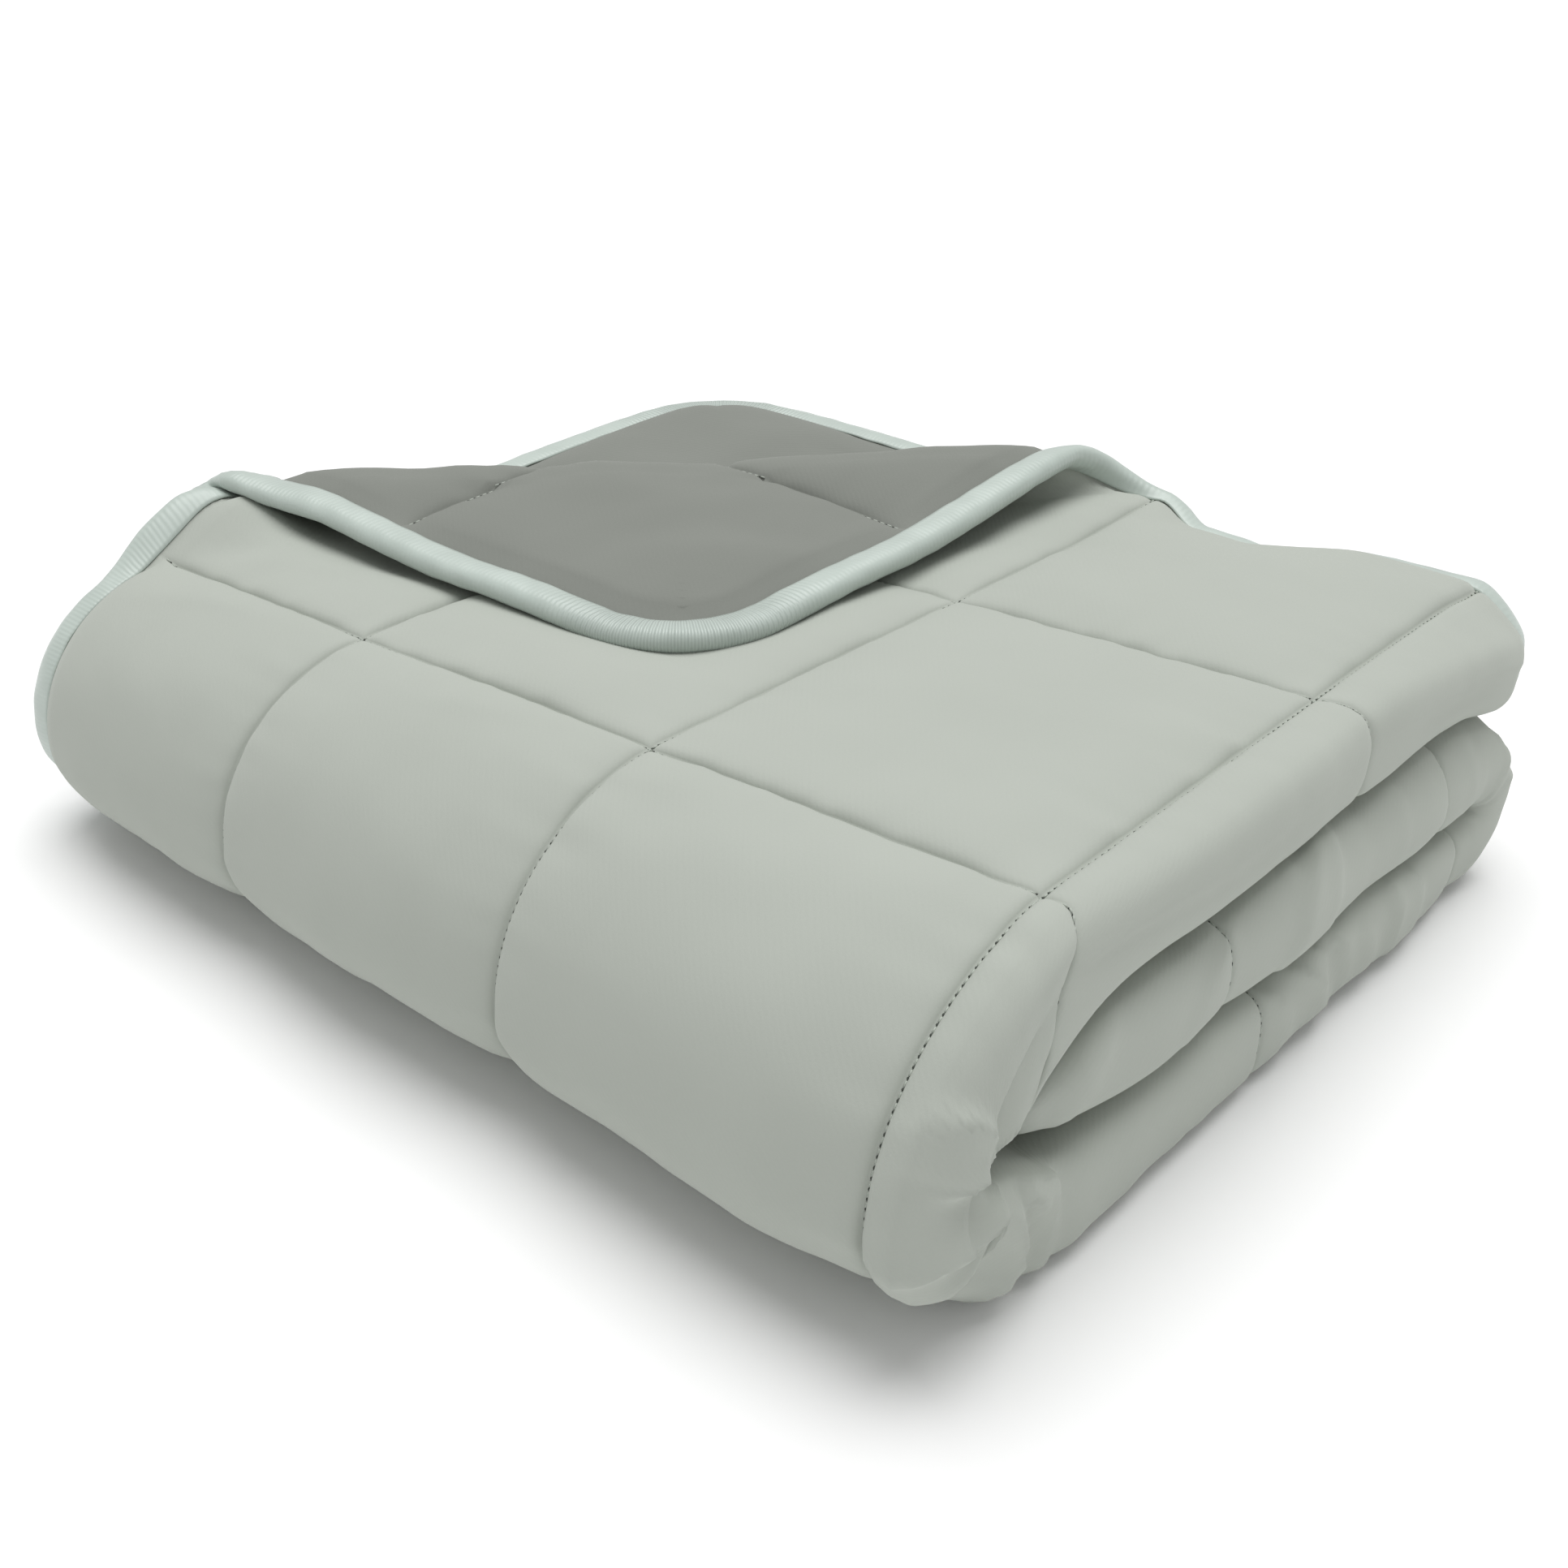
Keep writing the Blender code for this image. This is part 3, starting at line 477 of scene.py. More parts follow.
def creases(u, v):
    """How far the listed creases raise the light face: a soft rise, then a steep drop."""
    raised = np.zeros(np.shape(u))
    for height, reach, steep, line in CREASES:
        line = np.array(line) / 1000
        runs = np.hypot(*np.diff(line, axis=0).T)
        along_line = np.concatenate([[0], np.cumsum(runs)])
        best = np.full(np.shape(u), 9.0)
        share = np.zeros(np.shape(u))
        beyond = np.zeros(np.shape(u), dtype=bool)
        for (au, av), (bu, bv), run, gone in zip(line[:-1], line[1:], runs, along_line):
            t = np.clip(((u - au) * (bu - au) + (v - av) * (bv - av)) / run ** 2, 0, 1)
            away = np.hypot(u - au - t * (bu - au), v - av - t * (bv - av))
            nearer = away < best
            best = np.where(nearer, away, best)
            share = np.where(nearer, (gone + t * run) / along_line[-1], share)
            beyond = np.where(nearer, (v - av - t * (bv - av)) * steep > 0, beyond)
        fade = np.sin(math.pi * (0.12 + 0.76 * share)) ** 0.7
        reach = reach / 1000 * np.where(beyond, STEEP, 1.0)
        raised = raised + height / 1000 * fade * np.exp(-((best / reach) ** 1.3))
    return raised


GROOVE = 0.0006            # depth and half-width of the groove that the thread pulls in
PUCKER = 0.0007            # height of the gathers beside a seam
BROAD_WAVE, FINE_WAVE = 0.0009, 0.0004   # heights of the light face's unevenness


def within_binding(u, v):
    """0 at the binding's inner edge and 1 a little way in, where the cloth is free."""
    return ease(STITCH_LINE, STITCH_LINE + 0.012, inset(u, v))


def light_depth(u, v):
    """Depth of the light face with its unevenness, puckers, grooves and creases."""
    bent = ease(U_ARC - 0.02, U_ARC + 0.012, u) * (1 - ease(U_ARC + ARC, U_ARC + ARC + 0.03, u))
    soft = BROAD_WAVE * waves(u, v, 0.085, 21)
    soft = soft + FINE_WAVE * (1 - 0.7 * bent) * waves(u, v, 0.034, 22)
    # the underside lies flat
    under = ease(V_UNDER - 0.03, V_UNDER + 0.01, v) * (1 - ease(V_BACK - 0.02, V_BACK + 0.02, v))
    soft = soft * (1 - under * (u < U_ARC - 0.01))
    stitched = np.minimum(seam_distance(u, SEAMS_U[1:-1]), seam_distance(v, SEAMS_V[1:-1]))
    moved = GROOVE * np.exp(-((stitched / GROOVE) ** 2)) - soft * puff(u, v)
    moved = moved - PUCKER * puckers(u, v) - creases(u, v) * puff(u, v) ** 0.5
    return faces_of_ply(u, v)[0] + within_binding(u, v) * moved


FINE_STEP = 0.005          # squares with steps below this get a fine seam
FINE_SEAM = [0.0007, 0.0018, 0.0034, 0.0061, 0.0100]   # cuts beside a seam that shows
PLAIN_SEAM = [0.004, 0.010]                            # and beside one that is hidden
OPEN_FROM = 0.0145         # from here on the cuts are evenly spaced


def stations(seams, steps, ends):
    """Where the mesh is cut along one direction: close beside each seam, wider between."""
    cuts = [ends[0]]
    for low, high, step in zip(seams[:-1], seams[1:], steps):
        first, last = max(low, ends[0]), min(high, ends[1])
        beside = FINE_SEAM if step < FINE_STEP else PLAIN_SEAM
        count = max(2, round((last - first - 2 * OPEN_FROM) / step))
        middle = np.linspace(first + OPEN_FROM, last - OPEN_FROM, count)
        cuts += [first + d for d in beside] + list(middle)
        cuts += [last - d for d in beside[::-1]] + [last]
    return np.array(cuts)


def lattice(us, vs):
    """Flat positions of a grid of points and the quads between them."""
    u, v = (a.ravel() for a in np.meshgrid(us, vs, indexing="ij"))
    index = np.arange(len(us) * len(vs)).reshape(len(us), len(vs))
    quads = np.stack([index[:-1, :-1], index[1:, :-1], index[1:, 1:], index[:-1, 1:]], axis=-1)
    rim = np.concatenate([index[:, 0], index[-1, 1:], index[-2::-1, -1], index[0, -2:0:-1]])
    return u, v, quads.reshape(-1, 4), rim


def placed(u, v, depth):
    """Folded points of the flat cloth, measured from the part's origin."""
    return np.stack(place(u, v, depth), axis=-1) - CENTRE


def mesh_object(name, points, faces, flat):
    """A smooth mesh that keeps each point's flat (u, v) in metres as its UV."""
    mesh = bpy.data.meshes.new(name)
    mesh.from_pydata(points.tolist(), [], [list(map(int, f)) for f in faces])
    layer = mesh.uv_layers.new(name="flat")
    corner = np.empty(len(mesh.loops), dtype=np.int32)
    mesh.loops.foreach_get("vertex_index", corner)
    layer.data.foreach_set("uv", flat[corner].astype(np.float32).ravel())
    mesh.polygons.foreach_set("use_smooth", [True] * len(mesh.polygons))
    mesh.update()
    made = bpy.data.objects.new(name, mesh)
    bpy.context.scene.collection.objects.link(made)
    return made


def linear(hex_colour):
    """An sRGB hex colour as linear RGBA."""
    parts = [int(hex_colour[k:k + 2], 16) / 255 for k in (1, 3, 5)]
    return [c / 12.92 if c <= 0.04045 else ((c + 0.055) / 1.055) ** 2.4 for c in parts] + [1.0]


def add_node(material, kind, settings=None, values=None, links=None):
    """One node, with its settings, its unlinked input values and its incoming links."""
    tree = material.node_tree
    node = tree.nodes.new(kind)
    for key, value in (settings or {}).items():
        setattr(node, key, value)
    for key, value in (values or {}).items():
        node.inputs[key].default_value = value
    for key, source in (links or {}).items():
        tree.links.new(source, node.inputs[key])
    return node


def new_material(name):
    """An empty node material."""
    material = bpy.data.materials.new(name)
    material.use_nodes = True
    material.node_tree.nodes.clear()
    return material


TWILL_SPACING = 0.0018     # between ribs, drawn wider than the real 0.3 mm, which wouldn't show


def rib_scale(spacing):
    """The wave texture's scale that puts its ribs this far apart."""
    return math.pi / (10 * spacing)


def brushed_microfibre(name, colour, shade, nap):
    """Brushed polyester microfibre: matt and soft, a little uneven where the nap lies
    differently, with a fine twill and a faint sheen at grazing angles."""
    cloth = new_material(name)
    flat = add_node(cloth, "ShaderNodeUVMap", {"uv_map": "flat"})
    # the nap lies unevenly: patches about 60 mm across, a touch lighter or darker
    patches = add_node(cloth, "ShaderNodeTexNoise", {},
                       {"Scale": 16.0, "Detail": 3.0, "Roughness": 0.55},
                       {"Vector": flat.outputs["UV"]})
    # short fibres, about 0.6 mm
    fibres = add_node(cloth, "ShaderNodeTexNoise", {}, {"Scale": 1700.0, "Detail": 2.0},
                      {"Vector": flat.outputs["UV"]})
    tone = add_node(cloth, "ShaderNodeMath", {"operation": "MULTIPLY_ADD"}, {1: 0.35, 2: 0.0},
                    {0: fibres.outputs["Fac"]})
    both = add_node(cloth, "ShaderNodeMath", {"operation": "MULTIPLY_ADD"}, {1: 0.65},
                    {0: patches.outputs["Fac"], 2: tone.outputs[0]})
    mix = add_node(cloth, "ShaderNodeMix", {"data_type": "RGBA"},
                   {"A": linear(shade), "B": linear(colour)}, {"Factor": both.outputs[0]})
    # twill, which gives the cloth its fine diagonal grain
    turned = add_node(cloth, "ShaderNodeMapping", {}, {"Rotation": (0, 0, math.radians(38))},
                      {"Vector": flat.outputs["UV"]})
    twill = add_node(cloth, "ShaderNodeTexWave", {"wave_type": "BANDS", "bands_direction": "X"},
                     {"Scale": rib_scale(TWILL_SPACING), "Distortion": 1.2, "Detail": 1.0,
                      "Detail Scale": 2.0},
                     {"Vector": turned.outputs["Vector"]})
    raised = add_node(cloth, "ShaderNodeMath", {"operation": "MULTIPLY_ADD"}, {1: 0.5},
                      {0: twill.outputs["Fac"], 2: fibres.outputs["Fac"]})
    bump = add_node(cloth, "ShaderNodeBump", {}, {"Strength": nap, "Distance": 0.0002},
                    {"Height": raised.outputs[0]})
    shader = add_node(cloth, "ShaderNodeBsdfPrincipled", {}, {
        "Roughness": 0.86, "IOR": 1.45, "Specular IOR Level": 0.25, "Sheen Weight": 0.16,
        "Sheen Roughness": 0.5, "Sheen Tint": linear("#F4F6F0")},
        {"Base Color": mix.outputs["Result"], "Normal": bump.outputs["Normal"]})
    add_node(cloth, "ShaderNodeOutputMaterial", {}, {}, {"Surface": shader.outputs["BSDF"]})
    return cloth


# Mesh steps for each column and row, finest on the folds that show
QUILT_U = stations(SEAMS_U, [0.0040, 0.0040, 0.0036, 0.0018, 0.014, 0.014, 0.014],
                   (EDGE_INSET, WIDTH - EDGE_INSET))
QUILT_V = stations(SEAMS_V, [0.0040, 0.0036, 0.0028, 0.0030, 0.0030, 0.0032, 0.0030, 0.0030],
                   (EDGE_INSET, LENGTH - EDGE_INSET))
u, v, quads, rim = lattice(QUILT_U, QUILT_V)
face_points = placed(u, v, light_depth(u, v))

# The padding's hidden side, with far fewer points but the same rim and seams
PADDING_CLEAR = 0.0022     # it keeps this far off the reverse, and less at the rim
coarse_u = np.union1d(QUILT_U[4:-4:5], SEAMS_U[1:-1])
coarse_v = np.union1d(QUILT_V[4:-4:5], SEAMS_V[1:-1])
coarse_u, coarse_v = (a.ravel() for a in np.meshgrid(coarse_u, coarse_v, indexing="ij"))
flat_points = list(zip(u[rim], v[rim])) + list(zip(coarse_u, coarse_v))
edges = [(k, (k + 1) % len(rim)) for k in range(len(rim))]
hidden = delaunay_2d_cdt([Vector(p) for p in flat_points], edges, [], 0, 1e-7)
hidden_flat = np.array([tuple(p) for p in hidden[0]])
hidden_u, hidden_v = hidden_flat.T
padding = PADDING_CLEAR * ease(0.0, 0.01, inset(hidden_u, hidden_v) - EDGE_INSET) + REVERSE + GAP
hidden_depth = faces_of_ply(hidden_u, hidden_v)[1] - padding
hidden_points = placed(hidden_u, hidden_v, hidden_depth)
start = len(face_points)
walls = [(rim[after], rim[k], start + k, start + after) for k, after in edges]
quilt = mesh_object(
    "quilted_top_cloth",
    np.concatenate([face_points, hidden_points]),
    [tuple(q) for q in quads] + walls + [tuple(start + i for i in f[::-1]) for f in hidden[2]],
    np.concatenate([np.stack([u, v], axis=1), hidden_flat]),
)
quilt.data.materials.append(
    brushed_microfibre("brushed_sage_microfibre", colour="#B5BAB2", shade="#ADB2AA", nap=0.22))
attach(quilt, "root")
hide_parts("quilted_top")

# ---------------------------------------------------------------------------
# Reverse cloth. A darker grey microfibre of the same weave, sewn through along
# the same squares; it shows on the turned-back corner and under it.
# ---------------------------------------------------------------------------
REVERSE_WAVE = 0.0012      # height of its broad unevenness


def dark_depth(u, v):
    """Depth of the reverse with its unevenness and puckers."""
    soft = REVERSE_WAVE * waves(u, v, 0.070, 31) + FINE_WAVE * waves(u, v, 0.030, 32)
    moved = soft * puff(u, v) + PUCKER * puckers(u, v)
    return faces_of_ply(u, v)[1] + within_binding(u, v) * moved


REVERSE_U = stations(SEAMS_U, [0.004, 0.004, 0.012, 0.012, 0.012, 0.006, 0.0045],
                     (EDGE_INSET, WIDTH - EDGE_INSET))
REVERSE_V = stations(SEAMS_V, [0.004, 0.004] + [0.012] * 6, (EDGE_INSET, LENGTH - EDGE_INSET))
u, v, quads, rim = lattice(REVERSE_U, REVERSE_V)
outer = placed(u, v, dark_depth(u, v))
inner = placed(u, v, dark_depth(u, v) - REVERSE)
start = len(outer)
walls = [(here, after, start + after, start + here) for here, after in zip(rim, np.roll(rim, -1))]
lining = mesh_object(
    "reverse_microfibre",
    np.concatenate([outer, inner]),
    [tuple(q[::-1]) for q in quads] + walls + [tuple(start + i for i in q) for q in quads],
    np.tile(np.stack([u, v], axis=1), (2, 1)),
)
lining.data.materials.append(
    brushed_microfibre("brushed_grey_microfibre", colour="#878A84", shade="#7D807A", nap=0.3))
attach(lining, "root")
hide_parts("reverse_cloth")

# ---------------------------------------------------------------------------
# Binding. A satin ribbon folded over the raw edge and stitched down near its
# inner edge, in stitches that can't be made out and aren't drawn. It gathers
# into ribs where the edge curves.
# ---------------------------------------------------------------------------
BINDING_WIDTH = 0.0122
RIB_SPACING = 0.0022       # between the ribs of its gathers
PATH_STEP = 0.0022         # mesh step along the ribbon
RIPPLE = 0.00022           # its sides aren't quite straight
FADE = 12                  # steps over which the ribs die away beside a corner


def rim_path(spacing):
    """Points round the cloth's outer edge, as (u, v, inward u, inward v, distance so far)."""
    straight_u = WIDTH - 2 * CORNER_RADIUS
    straight_v = LENGTH - 2 * CORNER_RADIUS
    arc = math.pi / 2 * CORNER_RADIUS
    legs = [straight_v, arc, straight_u, arc, straight_v, arc, straight_u, arc]
    starts = [(0, LENGTH - CORNER_RADIUS), None, (CORNER_RADIUS, 0), None,
              (WIDTH, CORNER_RADIUS), None, (WIDTH - CORNER_RADIUS, LENGTH), None]
    moves = [(0, -1), None, (1, 0), None, (0, 1), None, (-1, 0), None]
    centres = [None, (CORNER_RADIUS, CORNER_RADIUS), None, (WIDTH - CORNER_RADIUS, CORNER_RADIUS),
               None, (WIDTH - CORNER_RADIUS, LENGTH - CORNER_RADIUS), None,
               (CORNER_RADIUS, LENGTH - CORNER_RADIUS)]
    found = []
    travelled = 0.0
    for leg, length in enumerate(legs):
        count = max(2, round(length / spacing))
        for k in range(count):
            share = k / count
            if starts[leg] is not None:
                at = np.array(starts[leg]) + np.array(moves[leg]) * length * share
                inward = np.array([-moves[leg][1], moves[leg][0]])
            else:
                angle = math.pi + (leg - 1) // 2 * math.pi / 2 + share * math.pi / 2
                outward = np.array([math.cos(angle), math.sin(angle)])
                at = np.array(centres[leg]) + CORNER_RADIUS * outward
                inward = -outward
            found.append((*at, *inward, travelled + length * share))
        travelled += length
    return np.array(found)


# The folded ribbon seen end on, as (distance in from its outer edge, height)
RIBBON = [(BINDING_WIDTH, 0.0033), (0.0110, 0.0037), (0.0085, 0.0041), (0.0060, 0.0043),
          (0.0038, 0.0041), (0.0018, 0.0033), (0.0005, 0.0018), (0.0, 0.0)]
RIBBON = RIBBON + [(w, -h) for w, h in RIBBON[-2::-1]]
LINED = [(w + (0.0008 if w < BINDING_WIDTH else 0), h * 0.80) for w, h in RIBBON][::-1]
SECTION = np.array(RIBBON + LINED)
path = rim_path(PATH_STEP)
columns = []
for w, height in SECTION:
    pu, pv = square_corners(path[:, 0] + path[:, 2] * w, path[:, 1] + path[:, 3] * w)
    ripple = RIPPLE * waves(path[:, 4], w * 3, 0.016, 41, 8) * (1 if abs(height) > 0.001 else 0.4)
    columns.append(placed(pu, pv, SEAM_MIDDLE + height + np.sign(height) * ripple))
points = np.stack(columns, axis=1).reshape(-1, 3)
rows, size = len(path), len(SECTION)
faces = []
for k in range(rows):
    here, after = k * size, (k + 1) % rows * size
    faces += [(here + j, after + j, after + (j + 1) % size, here + (j + 1) % size) for j in range(size)]
girth = np.concatenate([[0], np.cumsum(np.hypot(*np.diff(SECTION, axis=0).T))])
flat = np.stack([np.repeat(path[:, 4], size), np.tile(girth, rows)], axis=1)
binding = mesh_object("satin_binding_ribbon", points, faces, flat)

# Where the ribbon gathers: 1 round each corner, fading to 0 beside it
gather = binding.data.attributes.new("gather", "FLOAT", "POINT")
at_corner = np.minimum(np.abs(path[:, 2]), np.abs(path[:, 3])) > 1e-6
at_corner = np.concatenate([at_corner[-FADE:], at_corner, at_corner[:FADE]])
drawn = np.convolve(at_corner, np.ones(2 * FADE + 1) / (2 * FADE + 1), "valid")
gather.data.foreach_set("value", np.repeat(np.minimum(2 * drawn, 1), size).astype(np.float32))

# Polyester satin: a soft gloss, paler than the cloth, broken up where the ribs catch the light
satin = new_material("polyester_satin_ribbon")
flat_uv = add_node(satin, "ShaderNodeUVMap", {"uv_map": "flat"})
ribs = add_node(satin, "ShaderNodeTexWave", {"wave_type": "BANDS", "bands_direction": "X"},
                {"Scale": rib_scale(RIB_SPACING), "Distortion": 0.6, "Detail": 1.0},
                {"Vector": flat_uv.outputs["UV"]})
long_tone = add_node(satin, "ShaderNodeTexNoise", {}, {"Scale": 60.0, "Detail": 2.0},
                     {"Vector": flat_uv.outputs["UV"]})
tone = add_node(satin, "ShaderNodeMix", {"data_type": "RGBA"},
                {"A": linear("#B4BFB8"), "B": linear("#C7D2CB")}, {"Factor": long_tone.outputs["Fac"]})
# the ribs stand up where the ribbon gathers, and hardly show elsewhere
gathered = add_node(satin, "ShaderNodeAttribute", {"attribute_name": "gather"})
rib_height = add_node(satin, "ShaderNodeMath", {"operation": "MULTIPLY_ADD"}, {1: 0.85, 2: 0.15},
                      {0: gathered.outputs["Fac"]})
rib_height = add_node(satin, "ShaderNodeMath", {"operation": "MULTIPLY"}, {},
                      {0: rib_height.outputs[0], 1: ribs.outputs["Fac"]})
rib_bump = add_node(satin, "ShaderNodeBump", {}, {"Strength": 0.9, "Distance": 0.0005},
                    {"Height": rib_height.outputs[0]})
gloss = add_node(satin, "ShaderNodeBsdfPrincipled", {}, {
    "Roughness": 0.36, "IOR": 1.5, "Sheen Weight": 0.2, "Sheen Roughness": 0.4, "Anisotropic": 0.5},
    {"Base Color": tone.outputs["Result"], "Normal": rib_bump.outputs["Normal"]})
add_node(satin, "ShaderNodeOutputMaterial", {}, {}, {"Surface": gloss.outputs["BSDF"]})
binding.data.materials.append(satin)
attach(binding, "root")
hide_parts("satin_binding")

# ---------------------------------------------------------------------------
# Thread. Lockstitches of pale polyester thread along the bottom of the seams
# that show, with painted shade where the thread dives between two stitches: a
# small disc coloured dark for the shadow in the pit.
# ---------------------------------------------------------------------------
PITCH = 0.0032             # stitch to stitch
STITCH = 0.0023            # length of one on the cloth
THREAD_WIDE, THREAD_HIGH = 0.00032, 0.00026   # half of its width and height, drawn thick to show
PROUD = 0.0005             # how far the stitch stands out of the seam
HOLE = 0.00036             # half-width of the pit
HOLE_SIDES = 6


def stitch_row(start, end, side):
    """Stitches along a straight seam: centre, direction, and the side they stand out to."""
    start, end = np.array(start), np.array(end)
    run = np.hypot(*(end - start))
    way = (end - start) / run
    middles = start + np.outer(np.arange(PITCH, run - PITCH, PITCH), way)
    # on the reverse the two rows stop just short of their crossing
    crossing = np.abs(middles - (SEAMS_U[1], SEAMS_V[1])).max(axis=1) < 2 * PITCH
    return [(middle, way, side) for middle in middles[~crossing | (side < 0)]]


LIGHT_SIDE, DARK_SIDE = -1, 1
stitches = []
for seam in SEAMS_U[1:4]:
    stitches += stitch_row((seam, STITCH_LINE), (seam, V_UNDER + 0.02), LIGHT_SIDE)
for seam in SEAMS_V[1:-1]:
    first = STITCH_LINE if seam < V_UNDER else U_ARC - 0.01
    stitches += stitch_row((first, seam), (U_ARC + ARC - 0.006, seam), LIGHT_SIDE)
stitches += stitch_row((SEAMS_U[1], STITCH_LINE), (SEAMS_U[1], 0.20), DARK_SIDE)
stitches += stitch_row((STITCH_LINE, SEAMS_V[1]), (0.20, SEAMS_V[1]), DARK_SIDE)
middles, ways, sides = (np.array(part) for part in zip(*stitches))

# One stitch: a bar with four sides and its ends drawn down into the cloth
shape_along = np.array([-0.5, -0.32, -0.32, -0.32, -0.32, 0.32, 0.32, 0.32, 0.32, 0.5]) * STITCH
shape_across = np.array([0, 1, 0, -1, 0, 1, 0, -1, 0, 0]) * THREAD_WIDE
shape_up = np.array([-2.2, 0, 1, 0, -1, 0, 1, 0, -1, -2.2]) * THREAD_HIGH
shape_faces = [(0, 1, 2), (0, 2, 3), (0, 3, 4), (0, 4, 1)]
shape_faces += [(9, 6, 5), (9, 7, 6), (9, 8, 7), (9, 5, 8)]
shape_faces += [(1, 5, 6, 2), (2, 6, 7, 3), (3, 7, 8, 4), (4, 8, 5, 1)]
# and the pit beside it: a ring with a point above and one below, coloured
# dark as painted shade
RING = len(shape_up)
turn = np.arange(HOLE_SIDES) * 2 * math.pi / HOLE_SIDES
between = PITCH / 2
shape_along = np.concatenate([shape_along, between + 1.25 * HOLE * np.cos(turn), [between, between]])
shape_across = np.concatenate([shape_across, HOLE * np.sin(turn), [0, 0]])
shape_up = np.concatenate([shape_up, np.full(HOLE_SIDES, 0.00002), [0.00012, -0.0004]])
ring = [(RING + k, RING + (k + 1) % HOLE_SIDES) for k in range(HOLE_SIDES)]
shape_faces += [(RING + HOLE_SIDES, here, after) for here, after in ring]
shape_faces += [(RING + HOLE_SIDES + 1, after, here) for here, after in ring]
POINTS = len(shape_up)

u = middles[:, :1] + ways[:, :1] * shape_along - ways[:, 1:] * shape_across
v = middles[:, 1:] + ways[:, 1:] * shape_along + ways[:, :1] * shape_across
side = sides[:, None]
seam_depth = np.where(side < 0, light_depth(middles[:, :1], middles[:, 1:]),
                      dark_depth(middles[:, :1], middles[:, 1:]))
points = placed(u.ravel(), v.ravel(), (seam_depth + side * (shape_up + PROUD)).ravel())
faces = [tuple(POINTS * k + i for i in (face if way_out < 0 else face[::-1]))
         for k, way_out in enumerate(sides) for face in shape_faces]
thread = mesh_object("quilting_thread", points, faces, np.stack([u.ravel(), v.ravel()], axis=1))
# marks the pits, whose dark colour is painted shade for the shadow down each needle hole
painted_pit_shade = thread.data.attributes.new("painted_pit_shade", "FLOAT", "POINT")
painted_pit_shade.data.foreach_set("value", np.tile(np.arange(POINTS) >= RING, len(sides)).astype(np.float32))

# Polyester thread: a faintly glossy line about as pale as the cloth, set off by
# the painted shade of its pits
spun = new_material("pale_polyester_thread")
spun_uv = add_node(spun, "ShaderNodeUVMap", {"uv_map": "flat"})
spun_tone = add_node(spun, "ShaderNodeTexNoise", {}, {"Scale": 900.0, "Detail": 1.0},
                     {"Vector": spun_uv.outputs["UV"]})
spun_mix = add_node(spun, "ShaderNodeMix", {"data_type": "RGBA"},
                    {"A": linear("#A6ADA4"), "B": linear("#BEC4BB")},
                    {"Factor": spun_tone.outputs["Fac"]})
# painted shade: where a pit is marked, the thread's colour gives way to a dark grey-green
spun_pit_shade_mask = add_node(spun, "ShaderNodeAttribute", {"attribute_name": "painted_pit_shade"})
spun_with_painted_pits = add_node(spun, "ShaderNodeMix", {"data_type": "RGBA"}, {"B": linear("#3E433D")},
                    {"Factor": spun_pit_shade_mask.outputs["Fac"], "A": spun_mix.outputs["Result"]})
spun_shader = add_node(spun, "ShaderNodeBsdfPrincipled", {}, {"Roughness": 0.55, "IOR": 1.5},
                       {"Base Color": spun_with_painted_pits.outputs["Result"]})
add_node(spun, "ShaderNodeOutputMaterial", {}, {}, {"Surface": spun_shader.outputs["BSDF"]})
thread.data.materials.append(spun)
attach(thread, "root")

# ---------------------------------------------------------------------------
# Floor, light and camera: a flat pale studio floor, a broad soft light from
# above and a long view down on the front right corner.
# ---------------------------------------------------------------------------
FAR = 30                   # metres to the floor's edge, out of sight
floor_mesh = bpy.data.meshes.new("studio_floor")
floor_corners = [(-FAR, -FAR, 0), (FAR, -FAR, 0), (FAR, FAR, 0), (-FAR, FAR, 0)]
floor_mesh.from_pydata(floor_corners, [], [(0, 1, 2, 3)])
floor = bpy.data.objects.new("studio_floor", floor_mesh)
bpy.context.scene.collection.objects.link(floor)
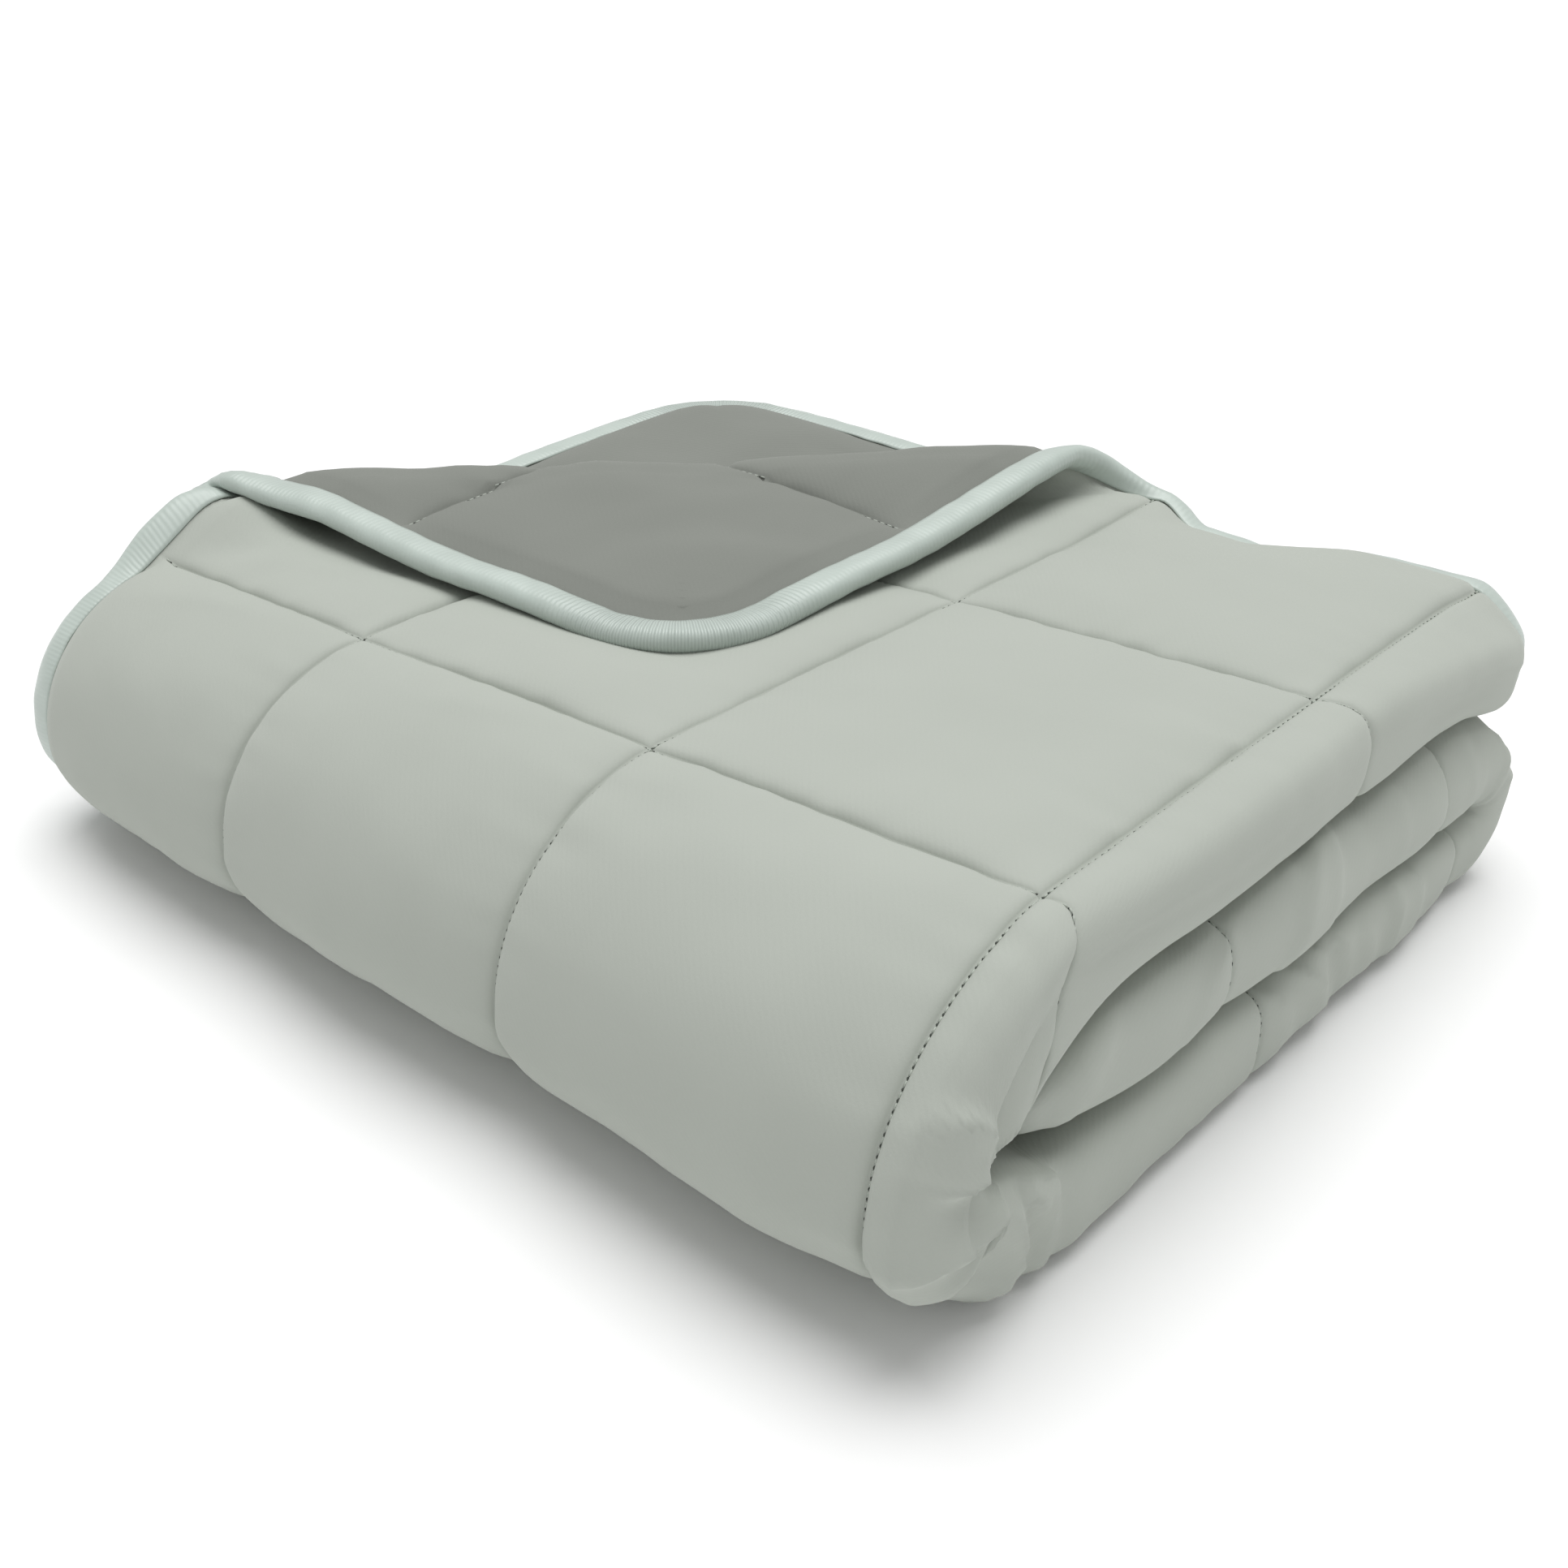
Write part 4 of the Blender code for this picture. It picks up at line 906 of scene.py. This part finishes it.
# Matt paper: nearly white and even, so that only the blanket's soft shadow shows on it
paper = new_material("matt_studio_paper")
grain = add_node(paper, "ShaderNodeTexNoise", {}, {"Scale": 30.0, "Detail": 2.0})
paper_tone = add_node(paper, "ShaderNodeMix", {"data_type": "RGBA"},
                      {"A": linear("#FAFAFA"), "B": linear("#FCFCFC")},
                      {"Factor": grain.outputs["Fac"]})
paper_shader = add_node(paper, "ShaderNodeBsdfPrincipled", {}, {"Roughness": 0.9},
                        {"Base Color": paper_tone.outputs["Result"]})
add_node(paper, "ShaderNodeOutputMaterial", {}, {}, {"Surface": paper_shader.outputs["BSDF"]})
floor.data.materials.append(paper)

world = bpy.data.worlds.new("studio")
world.use_nodes = True
world.node_tree.nodes["Background"].inputs["Color"].default_value = linear("#FFFFFF")
world.node_tree.nodes["Background"].inputs["Strength"].default_value = 0.44
bpy.context.scene.world = world

key = bpy.data.lights.new("key_from_upper_left", "SUN")
key.angle = math.radians(55)
key.energy = 2.40
key_holder = bpy.data.objects.new("key_from_upper_left", key)
key_holder.rotation_euler = Vector((0.10, -0.17, -1.0)).to_track_quat("-Z", "Y").to_euler()
bpy.context.scene.collection.objects.link(key_holder)

# The photo's camera, fitted to the seam crossings that show
CAMERA_TURN, CAMERA_DOWN, CAMERA_ROLL = (math.radians(a) for a in (39.381, 27.907, 1.335))
CAMERA_PLACE = Vector((0.3652, -0.4442, 0.3223))
LENS_PIXELS, FRAME_PIXELS = 2136.54, 1932
forward = Vector((-math.cos(CAMERA_DOWN) * math.sin(CAMERA_TURN),
                  math.cos(CAMERA_DOWN) * math.cos(CAMERA_TURN), -math.sin(CAMERA_DOWN)))
right = Vector((math.cos(CAMERA_TURN), math.sin(CAMERA_TURN), 0))
up = right.cross(forward)
right, up = (right * math.cos(CAMERA_ROLL) + up * math.sin(CAMERA_ROLL),
             up * math.cos(CAMERA_ROLL) - right * math.sin(CAMERA_ROLL))
camera_data = bpy.data.cameras.new("camera")
SENSOR = 36                # mm
camera_data.sensor_width = SENSOR
camera_data.lens = SENSOR * LENS_PIXELS / FRAME_PIXELS
camera = bpy.data.objects.new("camera", camera_data)
axes = Matrix((right, up, -forward)).transposed().to_4x4()
camera.matrix_world = Matrix.Translation(CAMERA_PLACE) @ axes
bpy.context.scene.collection.objects.link(camera)
bpy.context.scene.camera = camera
bpy.context.scene.view_settings.view_transform = "Standard"
